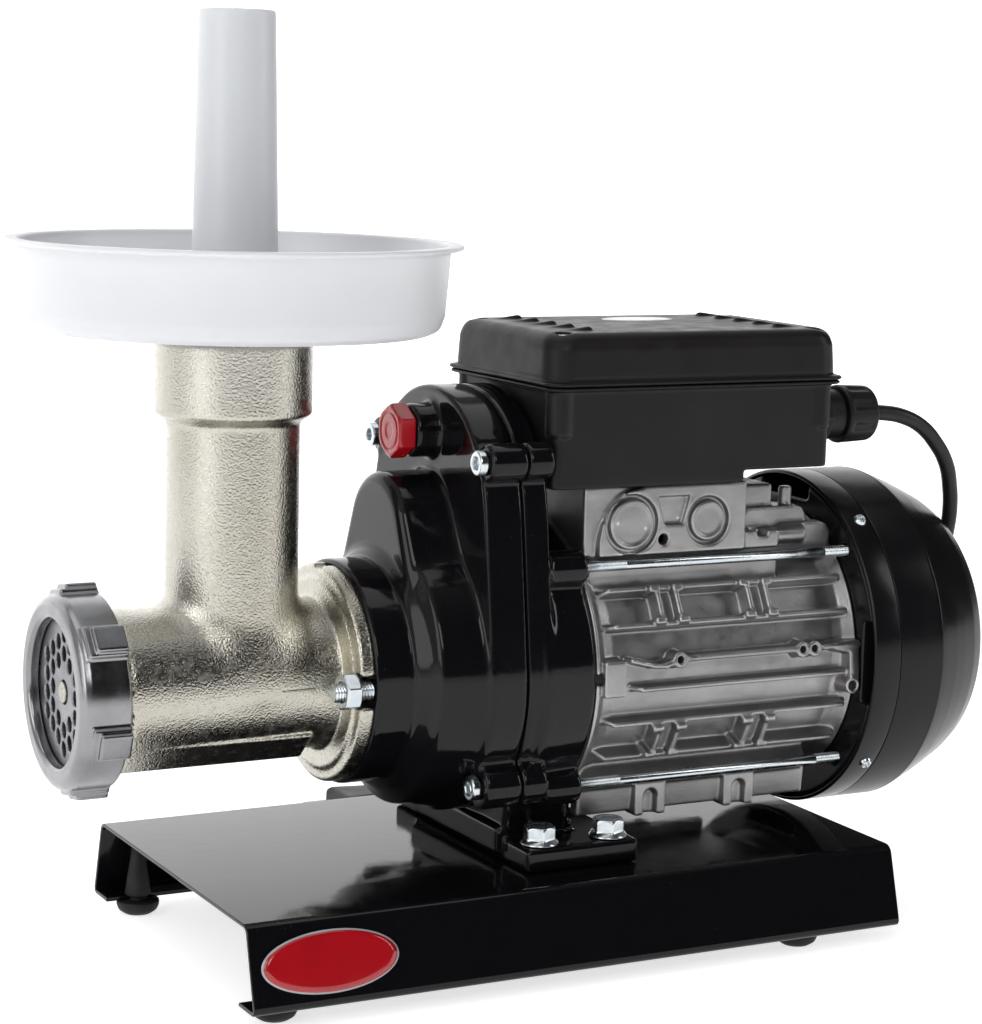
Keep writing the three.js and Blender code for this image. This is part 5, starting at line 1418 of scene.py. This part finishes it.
def make_tray():
    spigot, bore = 28.2, 26.2
    profile = [
        (242, bore), (241, bore + 0.8), (242, spigot), (COLLAR_TOP + 0.3, spigot), (COLLAR_TOP + 0.3, 33),
        (TRAY_FLOOR, 34), (TRAY_FLOOR, 97), (TRAY_FLOOR + 2.6, 102), (TRAY_FLOOR + 9, 104.4),
        (TRAY_RIM - 3.2, 106.8), (TRAY_RIM - 2.2, TRAY_LIP_R), (TRAY_RIM, TRAY_LIP_R - 0.4),
        (TRAY_RIM, 105.6), (TRAY_FLOOR + 9, 101.9), (TRAY_FLOOR + 2.5, 96), (TRAY_FLOOR + 2.5, bore + 3),
        (TRAY_FLOOR, bore),
    ]
    turned_piece("feed_tray", profile, Z, HEAD_X, 0, "milky_plastic", body="tray", stands_for=["tray"],
                 segments=256, radius=1.6)


def make_pusher():
    wall, low_r, top_r = 2.8, 25.0, 18.8
    profile = [
        (PUSHER_BOTTOM, low_r - wall), (PUSHER_BOTTOM, low_r), (TRAY_RIM, 21.2), (PUSHER_TOP - 0.8, top_r),
        (PUSHER_TOP - 0.8, 1.7), (PUSHER_TOP, 1.4), (PUSHER_TOP, 0), (PUSHER_TOP - 0.8 - wall, 0),
        (PUSHER_TOP - 0.8 - wall, top_r - wall),
    ]
    turned_piece("feed_pusher", profile, Z, HEAD_X, 0, "milky_plastic", body="pusher",
                 stands_for=["pusher"], segments=128, radius=1.8)


make_head()
make_ring_nut()
make_hole_plate()
make_tray()
make_pusher()


# ---- stage ----------------------------------------------------------------------------------------
def area_light(name, at, towards, size, watts):
    data = bpy.data.lights.new(name, "AREA")
    data.shape = "RECTANGLE"
    data.size, data.size_y = size
    data.energy = watts
    light = bpy.data.objects.new(name, data)
    light.location = at
    light.rotation_mode = "QUATERNION"
    light.rotation_quaternion = (Vector(towards) - Vector(at)).to_track_quat("-Z", "Y")
    bpy.context.scene.collection.objects.link(light)


def make_stage():
    """Floor that runs up into a wall far behind the object, and ground beyond it, all pale."""
    half, back, bend = 9.0, 4.0, 2.0
    profile = [(-7.0, 0.0), (back, 0.0)]
    for k in range(1, 17):
        angle = math.pi / 2 * k / 16
        profile.append((back + bend * math.sin(angle), bend * (1 - math.cos(angle))))
    profile.append((back + bend, 7.0))
    points = [(x, y, z) for y, z in profile for x in (-half, half)]
    faces = [(2 * k, 2 * k + 1, 2 * k + 3, 2 * k + 2) for k in range(len(profile) - 1)]
    ground = [(-60, -60, -0.001), (60, -60, -0.001), (60, 60, -0.001), (-60, 60, -0.001)]
    paint = Paint("pale_floor", (0.8, 0.8, 0.805), 0.6, specular_ior_level=0.2)
    paint.worn(paint.noise(6, 3), 0.55, 0.7)
    paint.set("Emission Color", (1, 1, 1, 1))
    paint.set("Emission Strength", 0.7)
    for name, corners, polygons in (("floor", points, faces), ("far_floor", ground, [(0, 1, 2, 3)])):
        mesh = bpy.data.meshes.new(name)
        mesh.from_pydata(corners, [], polygons)
        mesh.shade_smooth()
        mesh.materials.append(paint.material)
        floor = bpy.data.objects.new(name, mesh)
        bpy.context.scene.collection.objects.link(floor)


def make_light():
    """A room that is bright behind and to the left and dark at the front right, and soft lights."""
    world = bpy.data.worlds.new("studio")
    bpy.context.scene.world = world
    world.use_nodes = True
    nodes, links = world.node_tree.nodes, world.node_tree.links
    direction = nodes.new("ShaderNodeTexCoord").outputs["Generated"]
    bright_side = nodes.new("ShaderNodeVectorMath")
    bright_side.operation = "DOT_PRODUCT"
    bright_side.inputs[1].default_value = (-0.75, 0.45, 0.45)
    links.new(direction, bright_side.inputs[0])
    level = nodes.new("ShaderNodeMapRange")
    level.interpolation_type = "SMOOTHSTEP"
    for socket, number in (("From Min", -0.3), ("From Max", 0.7), ("To Min", 0.02), ("To Max", 0.5)):
        level.inputs[socket].default_value = number
    links.new(bright_side.outputs["Value"], level.inputs["Value"])
    links.new(level.outputs["Result"], nodes["Background"].inputs["Strength"])
    nodes["Background"].inputs["Color"].default_value = (1, 1, 1, 1)
    area_light("left_softbox", (-1.9, -0.7, 1.0), (0, 0, 0.2), (1.0, 1.6), 11)
    area_light("front_softbox", (-0.9, -2.3, 1.7), (0, 0, 0.3), (1.0, 1.0), 11)
    area_light("right_softbox", (1.9, -1.1, 1.0), (0.1, 0, 0.2), (0.5, 1.4), 8)
    area_light("top_softbox", (0, 0.2, 2.2), (0, 0, 0.2), (2.2, 1.6), 11)
    area_light("backdrop_light", (0, 2.2, 2.6), (0, 5.5, 1.0), (5.0, 1.0), 120)
    bpy.context.scene.view_settings.view_transform = "Standard"


make_stage()
make_light()
